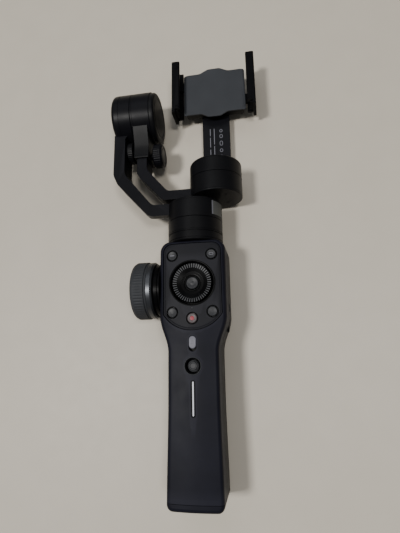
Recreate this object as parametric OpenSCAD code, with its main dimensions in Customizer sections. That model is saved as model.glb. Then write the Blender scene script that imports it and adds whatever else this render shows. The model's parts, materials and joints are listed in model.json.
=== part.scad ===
/* [Handle] */
// Length of the handle, from its base to the foot of the pan motor
handle_len = 174.4; // [174:0.2:175]
// Half width of the grip at its base
base_half = 18.4; // [18.2:0.1:18.8]
// Half width of the grip at its waist
waist_half = 17.4; // [17.2:0.1:17.6]
// Half width of the control head
head_half = 23.5; // [23.3:0.1:23.9]
// Thickness of the handle, front to back
handle_depth = 40; // [39.6:0.1:40.4]
// Thickness of the shells' walls
wall = 2.2; // [2:0.1:2.4]

/* [Controls] */
// Distance from the base to the centre of the dial
dial_y = 143.6; // [143:0.2:144.2]
// Radius of the dial
dial_r = 13.8; // [13.3:0.1:13.9]
// Radius of a panel button's cap
button_r = 3.3; // [3:0.1:3.4]
// Travel of a panel button
button_travel = 0.6; // [0.4:0.1:0.7]
// Distance from the base to the focus wheel's axis
wheel_y = 142; // [141:0.5:143]
// Radius of the focus wheel
wheel_r = 21.3; // [20.5:0.1:21.5]

/* [Motors and arms] */
// Radius of the pan and roll motors
motor_r = 20.6; // [20.4:0.1:20.8]
// Radius of the tilt motor
tilt_r = 20.1; // [19.8:0.1:20.3]
// Distance from the base to the roll axis
roll_y = 287.5; // [287.5:0.1:288]
// Distance from the handle's axis to the tilt axis
tilt_x = 16.8; // [16.4:0.1:17.2]

/* [Phone clamp] */
// Distance from the base to the clamp's pivot
clamp_y = 311; // [310:0.5:312]
// Distance from the clamp's centre to a jaw's outer face, closed
jaw_reach = 34.2; // [34:0.1:34.4]
// Travel of each jaw
jaw_travel = 10; // [6:1:10]

/* [Hidden] */

$fn = 96;

// The frame's origin is the mouth of the tripod socket, on the axis of the handle and
// the pan motor. +Y runs up the handle, +Z out of its control face, +X to the right.
back_z = -21;
front_z = back_z + handle_depth;
split_z = 0;
crown_r = 120;
crown_z = front_z - crown_r;
gap = 0.3;
run_fit = 0.05;
tiny = 0.01;

// Outline of the handle, seen from the front
waist_y = 67;
flare_y = 97;
head_y = 121;
base_round = 4;
head_round = 7;

// Base
cap_len = 5;
plug_len = 8;
insert_r = 5;
socket_r = 2.6;

// Control panel
panel_half = 20.5;
panel_top = handle_len - 2.4;
panel_round = 5.5;
panel_arc_r = 24.5;
panel_low = 111;
panel_sink = 0.4;
ledge = 1.5;
ledge_z = 13.6;
button_x = 14;
button_top_y = 163.5;
button_low_y = 123.3;
record_y = 119;
lamp_y = 126;
switch_y = 103;
switch_half = 4.2;
switch_r = 2.4;
switch_travel = 1.6;
stick_y = 87.6;
stick_z = 12.6;
led_low = 55.5;
led_high = 78.5;
led_half = 1.4;
well_r = 15.3;

// Boards, cells and screws
board_t = 1.6;
main_board_z = 8;
control_board_z = 8.5;
cell_r = 9.15;
cell_len = 50;
cell_z = -3;
cell_start = 8;
screw_spots = [[12.6, 20], [12.6, 83], [19.4, 157]];
screw_r = 1;
screw_head_r = 1.9;
boss_r = 2.4;
boss_top = 16.3;

// Triggers, ports and the side button
trigger_z = -17;
trigger_pin_r = 0.9;
upper_pivot = 143;
lower_pivot = 122;
trigger_len = 17.2;
trigger_half = 7.6;
usb_y = 115;
usb_z = -6;
power_y = 128;
power_z = -6;
power_r = 3;

// Focus wheel, along X from the head's left side
wheel_z = 1;
boss_len = 4.7;
ring_end = 9.5;
wheel_end = 21.6;

// Inside of every motor
split_gap = 0.3;
motor_wall = 2;
tube_r = 6.4;
bearing_r = 4;
bearing_len = 3;
shaft_r = 2;
shaft_low = -12;
magnet_in = 15.2;
magnet_out = 16.6;
stator_teeth = 9;

// Motors, as the distance of each one's split and its lengths on both sides
pan_split = 192;
pan_base_len = pan_split - handle_len;
pan_cover_len = 15;
arm_top = pan_split + pan_cover_len;
roll_split = -48.5;
roll_base_len = 15.7;
roll_cover_len = 15.6;
roll_cap_len = 3.9;
tilt_split = 226;
tilt_base_len = 15;
tilt_cover_len = 12.8;

// Arms
arm_half = 9;
outer_left = roll_split - roll_base_len;
outer_inner = -55.1;
bar_half = 8;
bar_left = -45;
bar_right = -37;
bar_end = 257;
sleeve_low = 248;
sleeve_left = -46.9;
sleeve_right = -35.2;
sleeve_half = bar_half + gap + 1.7;
channel_end = 265.6;
thumb_y = 252.6;
thumb_r = 9.6;
nut_y = 257.5;
nut_r = 8.6;

// Phone clamp
clamp_z = -11.7;
strip_half = 11.4;
strip_low = -16;
strip_top = clamp_z - gap;
pivot_r = 3;
base_x = 24;
base_low_y = -20.4;
base_high_y = 15;
base_top = -5.3;
slot_y = 13.5;
slot_low = -10;
slot_top = -6.9;
tongue_low = slot_low + gap;
tongue_top = slot_top - gap;
plate_x = 25.75;
plate_t = 1.2;
jaw_low_y = -23.4;
jaw_high_y = 24.2;
jaw_top = 6;
jaw_wall = 2.5;
jaw_depth = 7;
pad_t = 2.2;
tongue_end = 20;

// Rack and pinion between the jaws
pinion_teeth = 10;
pitch_r = 4;
tooth_pitch = 2 * PI * pitch_r / pinion_teeth;
tooth_out = 0.7;
tooth_root = 0.95;
tooth_half = 0.44;
tooth_lean = 0.25;
rack_teeth = ceil(jaw_travel / tooth_pitch) + 2;

function smooth(t) = t * t * (3 - 2 * t);

function half_width(y) =
    y < waist_y ? base_half + (waist_half - base_half) * smooth(y / waist_y)
    : y < flare_y ? waist_half
    : y < head_y ? waist_half + (head_half - waist_half) * smooth((y - flare_y) / (head_y - flare_y))
    : head_half;

function arc(x, y, r, from, to, steps) =
    [for (i = [0 : steps]) let (a = from + (to - from) * i / steps) [x + r * cos(a), y + r * sin(a)]];

function mirrored(points) = [for (i = [len(points) - 1 : -1 : 0]) [-points[i].x, points[i].y]];

function handle_side(inset) = concat(
    arc(base_half - base_round, base_round, base_round - inset, -90, 0, 4),
    [for (y = [12 : 12 : waist_y]) [half_width(y) - inset, y]],
    [for (y = [flare_y : 3 : head_y]) [half_width(y) - inset, y]],
    arc(head_half - head_round, handle_len - head_round, head_round - inset, 0, 90, 6)
);

// Solid between two planes across Z, much wider than the handle
module slab(low, high) {
    translate([-100, -10, low]) cube([200, 300, high - low]);
}

// Everything behind a surface that lies a depth below the handle's convex front
module behind_front(depth) {
    translate([0, -10, crown_z]) rotate([-90, 0, 0]) cylinder(h = 300, r = crown_r - depth, $fn = 240);
}

// The handle's outer form, brought in by an inset on every side
module handle_form(inset) {
    intersection() {
        translate([0, 0, back_z + inset])
            linear_extrude(handle_depth) polygon(concat(handle_side(inset), mirrored(handle_side(inset))));
        behind_front(inset);
    }
}

module panel_outline(inset) {
    side = panel_half - inset;
    r = panel_arc_r - inset;
    low_angle = -acos(side / r);
    polygon(concat(
        arc(0, panel_low + panel_arc_r, r, -90, low_angle, 6),
        arc(panel_half - panel_round, panel_top - panel_round, panel_round - inset, 0, 90, 6),
        mirrored(arc(panel_half - panel_round, panel_top - panel_round, panel_round - inset, 0, 90, 6)),
        mirrored(arc(0, panel_low + panel_arc_r, r, -90, low_angle, 6))
    ));
}

module panel_block(inset) {
    linear_extrude(60) panel_outline(inset);
}

module along_x(x, y, z) {
    translate([x, y, z]) rotate([0, 90, 0]) children();
}

module at_screws() {
    for (spot = screw_spots) {
        for (side = [-1, 1]) {
            translate([side * spot.x, spot.y, 0]) children();
        }
    }
}

// Places a motor, built along its own Z with its split at zero
module at_pan() {
    translate([0, pan_split, 0]) rotate([-90, 0, 0]) children();
}

module at_roll() {
    along_x(roll_split, roll_y, 0) children();
}

module at_tilt() {
    translate([tilt_x, tilt_split, 0]) rotate([-90, 0, 0]) children();
}

// ---- Handle ----

module front_shell() {
    slot_low_y = switch_y - switch_half - switch_travel - gap;
    slot_len = 2 * (switch_half + gap) + switch_travel;
    color("#2b2e34") difference() {
        union() {
            difference() {
                handle_form(0);
                handle_form(wall);
            }
            intersection() {
                translate([0, 0, ledge_z]) linear_extrude(10) panel_outline(-ledge);
                behind_front(wall / 2);
            }
            at_screws() cylinder(h = boss_top, r = boss_r);
        }
        slab(back_z - 1, split_z);
        translate([-100, -10, back_z - 1]) cube([200, 10 + cap_len, 60]);
        difference() {
            panel_block(0);
            behind_front(wall);
        }
        panel_block(ledge);
        at_screws() translate([0, 0, -1]) cylinder(h = 9, r = screw_r);
        translate([0, stick_y, 10]) cylinder(h = 12, r = 5.8);
        translate([-switch_r - gap, slot_low_y, 10]) cube([2 * (switch_r + gap), slot_len, 12]);
        translate([-led_half, led_low, 10]) cube([2 * led_half, led_high - led_low, 12]);
        along_x(-head_half - 1, wheel_y, wheel_z) cylinder(h = 8, r = 3.6);
    }
}

module rear_shell() {
    color("#1d1f22") difference() {
        union() {
            difference() {
                handle_form(0);
                handle_form(wall);
            }
            at_screws() translate([0, 0, back_z]) cylinder(h = -back_z, r = boss_r);
            for (y = [15, 60, 100]) {
                translate([-9, y, back_z + 1]) cube([18, 2, cell_z - cell_r - 1.3 - back_z - 1]);
            }
            for (y = [upper_pivot, lower_pivot]) {
                for (side = [-1, 1]) {
                    translate([side * 9.6 - 1.1, y - 2, back_z + 1]) cube([2.2, 4, 5]);
                }
            }
        }
        slab(split_z, 60);
        translate([-100, -10, back_z - 1]) cube([200, 10 + cap_len, 60]);
        at_screws() translate([0, 0, back_z - 1]) cylinder(h = 40, r = screw_r);
        at_screws() translate([0, 0, back_z - 1]) cylinder(h = 2.8, r = screw_head_r);
        for (y = [upper_pivot, lower_pivot]) {
            translate([-8, y + 2.5 - 18, back_z - 1]) cube([16, 18, wall + 1.5]);
            along_x(-11, y, trigger_z) cylinder(h = 22, r = trigger_pin_r);
        }
        along_x(-head_half - 1, wheel_y, wheel_z) cylinder(h = 8, r = 3.6);
        along_x(15, power_y, power_z) cylinder(h = 12, r = power_r + 0.35);
        translate([15, usb_y - 4.5, usb_z - 1.6]) cube([12, 9, 3.2]);
    }
}

module control_panel() {
    color("#303237") difference() {
        intersection() {
            panel_block(0);
            behind_front(panel_sink);
        }
        behind_front(wall);
        translate([0, dial_y, 0]) cylinder(h = 60, r = well_r);
        for (x = [-button_x, button_x]) {
            for (y = [button_low_y, button_top_y]) {
                translate([x, y, 0]) cylinder(h = 60, r = button_r + 0.35);
            }
        }
        translate([0, record_y, 0]) cylinder(h = 60, r = button_r + 0.35);
        translate([0, lamp_y, 0]) cylinder(h = 60, r = 0.6);
    }
}

module base_cap() {
    color("#17181a") difference() {
        union() {
            intersection() {
                handle_form(0);
                translate([-100, 0, back_z - 1]) cube([200, cap_len, 60]);
            }
            intersection() {
                handle_form(wall);
                translate([-100, cap_len, back_z - 1]) cube([200, plug_len - cap_len, 60]);
            }
            translate([0, 1, 0]) rotate([-90, 0, 0]) cylinder(h = 6.5, r = insert_r + 1.4);
        }
        translate([0, -1, 0]) rotate([-90, 0, 0]) cylinder(h = 40, r = insert_r);
        translate([0, cap_len + 3, cell_z]) rotate([-90, 0, 0]) cylinder(h = 20, r = cell_r + 0.5);
    }
}

module tripod_insert() {
    color("#b08d4a") difference() {
        rotate([-90, 0, 0]) cylinder(h = plug_len - 0.2, r = insert_r);
        translate([0, -1, 0]) rotate([-90, 0, 0]) cylinder(h = plug_len, r = socket_r);
    }
}

module battery_cells() {
    color("#3f7cb0") for (i = [0 : 2]) {
        translate([0, cell_start + 1 + i * (cell_len + 0.1), cell_z]) rotate([-90, 0, 0])
            cylinder(h = cell_len, r = cell_r);
    }
}

module battery_holder() {
    color("#3a3b3d") difference() {
        translate([-10.1, cell_start + 1, cell_z - cell_r - 1.3]) cube([20.2, 3 * cell_len + 0.2, 9]);
        translate([0, 0, cell_z]) rotate([-90, 0, 0]) cylinder(h = 200, r = cell_r);
    }
}

module main_board() {
    color("#1f5a3a") difference() {
        translate([-10, 18, main_board_z]) cube([20, 91, board_t]);
        translate([0, switch_y, 0]) cylinder(h = 20, r = 0.8);
    }
}

module control_board() {
    color("#1f5a3a") difference() {
        translate([-16.8, 113, control_board_z]) cube([33.6, 54, board_t]);
        for (y = [dial_y - 19, dial_y + 19]) {
            translate([0, y, 0]) cylinder(h = 20, r = 1.1);
        }
    }
}

module dial_housing() {
    low = control_board_z + board_t;
    color("#141517") difference() {
        union() {
            difference() {
                translate([0, dial_y, low]) cylinder(h = 15.3 - low, r = well_r + 1.1);
                translate([0, dial_y, low + 2.6]) cylinder(h = 10, r = well_r);
            }
            translate([0, dial_y, low]) cylinder(h = 6, r = 5.6);
        }
        translate([0, dial_y, low - 1]) cylinder(h = 20, r = 4.6);
    }
}

module usb_port() {
    color("#b9bcc0") difference() {
        translate([16, usb_y - 4.5, usb_z - 1.6]) cube([6, 9, 3.2]);
        translate([17, usb_y - 4.1, usb_z - 1.2]) cube([12, 8.2, 2.4]);
    }
}

module led_light_pipe() {
    color("#e8e9f2") intersection() {
        union() {
            translate([-led_half, led_low, 14.5]) cube([2 * led_half, led_high - led_low, 3.5]);
            translate([-0.65, led_low + 0.6, 14.5]) cube([1.3, led_high - led_low - 1.2, 5]);
        }
        behind_front(0.1);
    }
}

module joystick_housing() {
    low = main_board_z + board_t;
    color("#141517") difference() {
        union() {
            translate([-6.5, stick_y - 6.5, low]) cube([13, 13, 5.4]);
            intersection() {
                translate([0, stick_y, low]) cylinder(h = 12, r = 5.8);
                behind_front(-0.5);
            }
        }
        translate([0, stick_y, low + 0.8]) cylinder(h = 20, r = 4.9);
        along_x(-6, stick_y, stick_z) cylinder(h = 12, r = 0.85);
    }
}

module handwheel_boss() {
    color("#141517") difference() {
        along_x(-head_half - boss_len, wheel_y, wheel_z) cylinder(h = boss_len, r = wheel_r - 2.3);
        along_x(-head_half - boss_len - 1, wheel_y, wheel_z) cylinder(h = 20, r = 3 + run_fit);
    }
}

module trigger_pins() {
    color("#9a9da1") for (y = [upper_pivot, lower_pivot]) {
        along_x(-10.5, y, trigger_z) cylinder(h = 21, r = trigger_pin_r);
    }
}

module casing_screws() {
    color("#6d7074") at_screws() {
        translate([0, 0, back_z + 0.3]) cylinder(h = 1.5, r = screw_head_r);
        translate([0, 0, back_z + 1]) cylinder(h = 28, r = screw_r);
    }
}

// ---- Motor pieces, built along Z with the split at zero ----

module motor_cup(r, depth, edge) {
    floor_z = -depth + motor_wall;
    rotate_extrude() polygon([
        [0, -depth], [r - edge, -depth], [r, -depth + edge], [r, -split_gap / 2],
        [r - motor_wall, -split_gap / 2], [r - motor_wall, floor_z + edge / 2],
        [r - motor_wall - edge / 2, floor_z], [tube_r, floor_z], [tube_r, -1], [bearing_r, -1],
        [bearing_r, shaft_low - 0.3], [0, shaft_low - 0.3]
    ]);
}

module motor_cover(r, height, edge) {
    rotate_extrude() polygon(concat(
        [[0, height - motor_wall], [r - motor_wall - edge, height - motor_wall],
         [r - motor_wall, height - motor_wall - edge], [r - motor_wall, split_gap / 2], [r, split_gap / 2]],
        arc(r - edge, height - edge, edge, 0, 90, 4),
        [[0, height]]
    ));
}

module motor_stator() {
    color("#b87333") translate([0, 0, -11]) linear_extrude(9.5) difference() {
        union() {
            circle(r = 9);
            for (i = [0 : stator_teeth - 1]) {
                rotate(i * 360 / stator_teeth) {
                    translate([8, -1.3]) square([5.5, 2.6]);
                    translate([13, -3]) square([1.5, 6]);
                }
            }
        }
        circle(r = tube_r);
    }
}

module motor_bearings() {
    color("#b9bcc0") for (z = [shaft_low + 0.5, -1 - bearing_len]) {
        translate([0, 0, z]) difference() {
            cylinder(h = bearing_len, r = bearing_r);
            translate([0, 0, -1]) cylinder(h = bearing_len + 2, r = shaft_r + run_fit);
        }
    }
}

// Magnet bell with its hub and shaft, reaching up to the inside of the cover
module motor_rotor(height) {
    top = height - motor_wall;
    color("#8e9196") rotate_extrude() polygon([
        [0, shaft_low], [shaft_r, shaft_low], [shaft_r, 1.4], [magnet_in, 1.4], [magnet_in, -11],
        [magnet_out, -11], [magnet_out, 2.6], [5, 2.6], [5, top], [0, top]
    ]);
}

module pan_motor_housing() {
    color("#161719") at_pan() difference() {
        motor_cup(motor_r, pan_base_len, 0.4);
        for (z = [-10.8, -16.2]) {
            translate([0, 0, z]) difference() {
                cylinder(h = 0.8, r = motor_r + 1);
                translate([0, 0, -1]) cylinder(h = 3, r = motor_r - 0.5);
            }
        }
    }
}

module pan_stator() {
    at_pan() motor_stator();
}

module pan_bearings() {
    at_pan() motor_bearings();
}

// ---- Controls ----

module handwheel_hub() {
    x0 = -head_half - ring_end;
    color("#8f9296") {
        along_x(x0, wheel_y, wheel_z) cylinder(h = ring_end - boss_len - gap, r = wheel_r - 0.4);
        along_x(x0, wheel_y, wheel_z) cylinder(h = ring_end + 8, r = 3);
    }
}

module handwheel_grip() {
    ribs = 30;
    x0 = -head_half - wheel_end;
    len = wheel_end - ring_end;
    color("#55585c") difference() {
        along_x(x0, wheel_y, wheel_z) rotate_extrude() polygon(concat(
            [[0, 1.5], [wheel_r - 6, 1.5], [wheel_r - 5, 0]],
            arc(wheel_r - 3, 3, 3, -90, 0, 4),
            [[wheel_r, len], [0, len]]
        ));
        for (i = [0 : ribs - 1]) {
            along_x(x0 + 3, wheel_y, wheel_z) rotate(i * 360 / ribs) translate([wheel_r + 0.5, 0, 0])
                cylinder(h = len - 5, r = 1.1, $fn = 24);
        }
    }
}

module dial_ring() {
    low = control_board_z + board_t + 3;
    color("#26282c") translate([0, dial_y, 0]) rotate_extrude() polygon([
        [5.6 + run_fit, low], [dial_r, low], [dial_r, 18.2], [dial_r - 0.5, 18.6], [dial_r - 1.6, 18.4],
        [dial_r - 4, 17], [6.6, 16.6], [5.6 + run_fit, 16]
    ]);
}

module dial_button() {
    color("#3a3c40") translate([0, dial_y, 0]) {
        translate([0, 0, 15]) cylinder(h = 2.2, r = 4.25);
        translate([0, 0, 11.6]) cylinder(h = 4, r = 1.2);
    }
}

module panel_button(x, y, cap_colour) {
    top = sqrt(pow(crown_r - panel_sink, 2) - x * x) + crown_z + button_travel;
    color(cap_colour) translate([x, y, 0]) {
        translate([0, 0, 14.5]) cylinder(h = top - 14.5, r = button_r);
        translate([0, 0, 14]) cylinder(h = 1, r = button_r + 0.7);
        translate([0, 0, 11.4]) cylinder(h = 3, r = 1.2);
    }
}

module button_top_left() {
    panel_button(-button_x, button_top_y, "#5b5d61");
}

module button_top_right() {
    panel_button(button_x, button_top_y, "#5b5d61");
}

module button_bottom_left() {
    panel_button(-button_x, button_low_y, "#5b5d61");
}

module button_bottom_right() {
    panel_button(button_x, button_low_y, "#5b5d61");
}

module record_button() {
    panel_button(0, record_y, "#b04a55");
}

module mode_switch_cap() {
    straight = switch_half - switch_r;
    color("#83838c") translate([0, switch_y, 0]) {
        translate([-switch_r, -straight, 15]) cube([2 * switch_r, 2 * straight, 4.4]);
        for (y = [-straight, straight]) {
            translate([0, y, 15]) cylinder(h = 4.4, r = switch_r);
        }
        translate([-3.4, -6.6, 14.6]) cube([6.8, 11.4, 1.6]);
        translate([-0.7, -0.7, main_board_z + board_t + 0.4]) cube([1.4, 1.4, 6]);
    }
}

module joystick_yoke() {
    color("#8e9196") difference() {
        translate([0, stick_y, stick_z]) {
            rotate([0, 90, 0]) translate([0, 0, -6]) cylinder(h = 12, r = 0.8);
            translate([-2.9, -2.9, -1]) cube([5.8, 5.8, 2]);
        }
        translate([-1.9, stick_y - 1.9, 0]) cube([3.8, 3.8, 40]);
        translate([0, stick_y - 5, stick_z]) rotate([-90, 0, 0]) cylinder(h = 10, r = 0.55);
    }
}

module joystick_stick() {
    color("#5b5d66") translate([0, stick_y, stick_z]) {
        translate([0, 0, -1]) cylinder(h = 5, r = 1);
        translate([0, -2.7, 0]) rotate([-90, 0, 0]) cylinder(h = 5.4, r = 0.5);
        translate([0, 0, 2.6]) cylinder(h = 0.6, r = 3.8);
        translate([0, 0, 3]) cylinder(h = 3, r = 3);
    }
}

module trigger(pivot_y) {
    color("#232528") difference() {
        union() {
            translate([-trigger_half, pivot_y + 2.1 - trigger_len, back_z + 0.4])
                cube([2 * trigger_half, trigger_len, 2]);
            translate([-trigger_half, pivot_y - 1.8, back_z + 2]) cube([2 * trigger_half, 3.6, 3.8]);
        }
        along_x(-trigger_half - 1, pivot_y, trigger_z)
            cylinder(h = 2 * trigger_half + 2, r = trigger_pin_r + run_fit);
    }
}

module trigger_upper() {
    trigger(upper_pivot);
}

module trigger_lower() {
    trigger(lower_pivot);
}

module power_button() {
    color("#2f3134") {
        along_x(head_half - wall - 2, power_y, power_z) cylinder(h = wall + 2.6, r = power_r);
        along_x(head_half - wall - 3.5, power_y, power_z) cylinder(h = 2, r = power_r + 0.8);
    }
}

// ---- Pan arm ----

module pan_rotor_cover() {
    color("#191a1d") at_pan() motor_cover(motor_r, pan_cover_len, 0.8);
}

module pan_rotor() {
    at_pan() motor_rotor(pan_cover_len);
}

module pan_arm() {
    corner = [-34.5, arm_top - arm_half];
    color("#1c1d21") difference() {
        union() {
            at_roll() motor_cup(motor_r, roll_base_len, 3);
            difference() {
                translate([0, 0, -arm_half]) linear_extrude(2 * arm_half) polygon([
                    [-10, corner.y], corner, [-60.6, corner.y + 29], [outer_left, corner.y + 37],
                    [outer_left, roll_y - 4], [outer_inner + 5, roll_y - 4], [outer_inner + 5, roll_y - 14],
                    [outer_inner, roll_y - 20], [outer_inner, corner.y + 37.5],
                    [-32, arm_top], [-10, arm_top]
                ]);
                at_roll() translate([0, 0, -roll_base_len + motor_wall])
                    cylinder(h = 60, r = motor_r - motor_wall - 2);
                at_roll() translate([0, 0, -split_gap / 2]) cylinder(h = 60, r = motor_r + 5);
                at_roll() translate([0, 0, -roll_base_len]) difference() {
                    cylinder(h = 4, r = motor_r + 3);
                    translate([0, 0, -1]) cylinder(h = 6, r = motor_r - 1);
                    translate([-3 * motor_r, -motor_r, -1]) cube([2 * motor_r, 2 * motor_r, 6]);
                }
            }
        }
        translate([-100, corner.y, 3]) rotate([37, 0, 0]) translate([0, -60, -60]) cube([200, 60, 120]);
        at_pan() translate([0, 0, -1]) cylinder(h = 60, r = motor_r);
        at_roll() translate([0, 0, -roll_base_len + motor_wall + 1]) difference() {
            cylinder(h = 60, r = motor_r - motor_wall);
            translate([0, 0, -1]) cylinder(h = 62, r = tube_r);
        }
    }
}

module label_plate() {
    color("#8d8f90") at_pan() intersection() {
        translate([0, 0, 2.4]) difference() {
            cylinder(h = 10.6, r = motor_r + 0.3);
            translate([0, 0, -1]) cylinder(h = 13, r = motor_r);
        }
        rotate(-62) translate([0, 0, -1]) cube([30, 30, 30]);
        rotate(-8) translate([0, -30, -1]) cube([30, 30, 30]);
    }
}

module roll_stator() {
    at_roll() motor_stator();
}

module roll_bearings() {
    at_roll() motor_bearings();
}

// ---- Roll head ----

module roll_housing() {
    color("#1c1d21") difference() {
        union() {
            at_roll() motor_cover(motor_r, roll_cover_len, 0.6);
            difference() {
                translate([sleeve_left, sleeve_low, -sleeve_half])
                    cube([sleeve_right - sleeve_left, roll_y - sleeve_low, 2 * sleeve_half]);
                translate([sleeve_left, roll_y, 0]) rotate([90, 0, 90])
                    linear_extrude(sleeve_right - sleeve_left) polygon([
                        [-8, 14.8], [-14, 14.8], [-28, sleeve_half],
                        [-28, -sleeve_half], [-14, -14.8], [-8, -14.8]
                    ]);
                at_roll() translate([0, 0, -10]) cylinder(h = 60, r = motor_r - 1);
            }
        }
        translate([bar_left - gap, sleeve_low - 1, -bar_half - gap])
            cube([bar_right - bar_left + 2 * gap, channel_end - sleeve_low + 1, 2 * (bar_half + gap)]);
        along_x(bar_right, thumb_y, 0) cylinder(h = 10, r = 2 + run_fit);
    }
}

module roll_end_cap() {
    color("#151618") at_roll() translate([0, 0, roll_cover_len]) rotate_extrude() polygon(concat(
        [[0, 0], [motor_r - 0.8, 0]],
        arc(motor_r - 2.8, roll_cap_len - 2, 2, 0, 90, 4),
        [[0, roll_cap_len]]
    ));
}

module roll_rotor() {
    at_roll() motor_rotor(roll_cover_len);
}

module clamp_nut_disc() {
    color("#232428") along_x(sleeve_left - 7.4, nut_y, 0) rotate_extrude() polygon(
        [[0, 0], [nut_r - 1, 0], [nut_r, 1], [nut_r, 5], [4, 5], [4, 7.4], [0, 7.4]]
    );
}

module thumb_screw() {
    flutes = 12;
    color("#202124") {
        difference() {
            along_x(sleeve_right + 2.8, thumb_y, 0) cylinder(h = 7.6, r = thumb_r);
            for (i = [0 : flutes - 1]) {
                along_x(sleeve_right + 2, thumb_y, 0) rotate(i * 360 / flutes)
                    translate([thumb_r + 0.9, 0, 0]) cylinder(h = 6.9, r = 1.4, $fn = 24);
            }
        }
        along_x(sleeve_right + gap, thumb_y, 0) cylinder(h = 3, r = 5);
        along_x(bar_right + gap, thumb_y, 0) cylinder(h = 5, r = 2);
    }
}

// ---- Tilt arm ----

module tilt_arm() {
    base_y = tilt_split - tilt_base_len;
    color("#1c1d21") {
        difference() {
            translate([0, 0, -bar_half]) linear_extrude(2 * bar_half) polygon([
                [bar_left, bar_end], [bar_left, 234.2], [-24.8, base_y + 0.8], [-22, base_y], [10, base_y],
                [10, base_y + 7.4], [-19, base_y + 7.4], [-21.3, base_y + 8.6], [bar_right, 238],
                [bar_right, bar_end]
            ]);
            at_tilt() translate([0, 0, -30]) cylinder(h = 60, r = tilt_r - 2.6);
        }
        at_tilt() motor_cup(tilt_r, tilt_base_len, 2.5);
    }
}

module tilt_stator() {
    at_tilt() motor_stator();
}

module tilt_bearings() {
    at_tilt() motor_bearings();
}

// ---- Tilt head ----

module tilt_rotor_cover() {
    color("#161719") at_tilt() motor_cover(tilt_r, tilt_cover_len, 2);
}

module tilt_rotor() {
    at_tilt() motor_rotor(tilt_cover_len);
}

module clamp_bar() {
    start = tilt_split + tilt_cover_len;
    color("#17181b") difference() {
        union() {
            translate([tilt_x - strip_half, start, strip_low])
                cube([2 * strip_half, clamp_y - start, strip_top - strip_low]);
            translate([tilt_x, clamp_y, strip_low]) cylinder(h = strip_top - strip_low, r = strip_half);
        }
        translate([tilt_x, clamp_y, -30]) cylinder(h = 30, r = pivot_r + run_fit);
    }
}

// ---- Phone clamp, built round its pivot ----

module at_clamp() {
    translate([tilt_x, clamp_y, 0]) children();
}

module clamp_base() {
    color("#1a1b1d") at_clamp() {
        difference() {
            translate([-base_x, base_low_y, clamp_z])
                cube([2 * base_x, base_high_y - base_low_y, base_top - clamp_z]);
            translate([-base_x - 1, -slot_y, slot_low])
                cube([2 * base_x + 2, 2 * slot_y, slot_top - slot_low]);
            translate([0, 0, -30]) cylinder(h = 40, r = 1.5);
        }
    }
}

module clamp_plate() {
    side_low = -21;
    side_high = 17.4;
    color("#3f4145") at_clamp() translate([0, 0, base_top]) linear_extrude(plate_t) polygon([
        [-plate_x, side_low + 1.5], [-plate_x + 1.5, side_low], [-10, side_low], [-6, side_low - 3.4],
        [6, side_low - 3.4], [10, side_low], [plate_x - 1.5, side_low], [plate_x, side_low + 1.5],
        [plate_x, side_high - 1.5], [plate_x - 1.5, side_high], [10, side_high], [6, side_high + 3.6],
        [-6, side_high + 3.6], [-10, side_high], [-plate_x + 1.5, side_high], [-plate_x, side_high - 1.5]
    ]);
}

module clamp_pivot() {
    color("#9a9da1") at_clamp() {
        translate([0, 0, strip_low - 1.6]) cylinder(h = 1.3, r = 5);
        translate([0, 0, strip_low - 1]) cylinder(h = clamp_z - strip_low + 1, r = pivot_r);
        translate([0, 0, clamp_z - 1]) cylinder(h = base_top - clamp_z + 1, r = 1.5);
    }
}

module clamp_spring() {
    color("#b9bcc0") at_clamp() translate([0, 0, slot_low]) difference() {
        cylinder(h = 0.7, r = 3.1);
        translate([0, 0, -1]) cylinder(h = 3, r = 1.8);
    }
}

// A jaw on the left of its clamp, with its rack on the +Y side of the pinion
module jaw_blank(low_y, high_y) {
    face = -jaw_reach;
    color("#101113") {
        translate([0, high_y, 0]) rotate([90, 0, 0]) linear_extrude(high_y - low_y) polygon([
            [face, clamp_z], [face + jaw_depth, clamp_z], [face + jaw_depth, tongue_low],
            [face + jaw_wall, tongue_low], [face + jaw_wall, jaw_top - 2],
            [face + jaw_depth - 0.3, jaw_top - 2], [face + jaw_depth - 0.3, jaw_top - 0.6],
            [face + jaw_depth - 1, jaw_top], [face + 0.8, jaw_top], [face, jaw_top - 0.8]
        ]);
        translate([0, 0, tongue_low]) linear_extrude(tongue_top - tongue_low) {
            polygon([
                [face + 1, pitch_r + tooth_root], [tongue_end, pitch_r + tooth_root],
                [tongue_end, slot_y - gap], [face + 1, slot_y - gap]
            ]);
            for (i = [0 : rack_teeth - 1]) {
                translate([(i - 1) * tooth_pitch, pitch_r]) rack_tooth();
            }
        }
    }
}

module rack_tooth() {
    polygon([
        [-tooth_half + tooth_lean, -tooth_out], [tooth_half - tooth_lean, -tooth_out],
        [tooth_half + tooth_lean, tooth_root + tiny], [-tooth_half - tooth_lean, tooth_root + tiny]
    ]);
}

module jaw_pad_blank(low_y, high_y) {
    face = -jaw_reach + jaw_wall;
    color("#2a2b2d") translate([face, low_y + 2.3, tongue_top + gap])
        cube([pad_t, high_y - low_y - 4.6, jaw_top - 2 - tongue_top - 2 * gap]);
}

module jaw_left() {
    at_clamp() jaw_blank(jaw_low_y, jaw_high_y);
}

module jaw_pad_left() {
    at_clamp() jaw_pad_blank(jaw_low_y, jaw_high_y);
}

module jaw_right() {
    at_clamp() rotate(180) jaw_blank(-jaw_high_y, -jaw_low_y);
}

module jaw_pad_right() {
    at_clamp() rotate(180) jaw_pad_blank(-jaw_high_y, -jaw_low_y);
}

module pinion_tooth() {
    root = pitch_r - tooth_root - 0.3;
    tip = pitch_r + tooth_out;
    polygon([
        [root, -tooth_half - tooth_lean], [tip, -tooth_half + tooth_lean],
        [tip, tooth_half - tooth_lean], [root, tooth_half + tooth_lean]
    ]);
}

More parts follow.
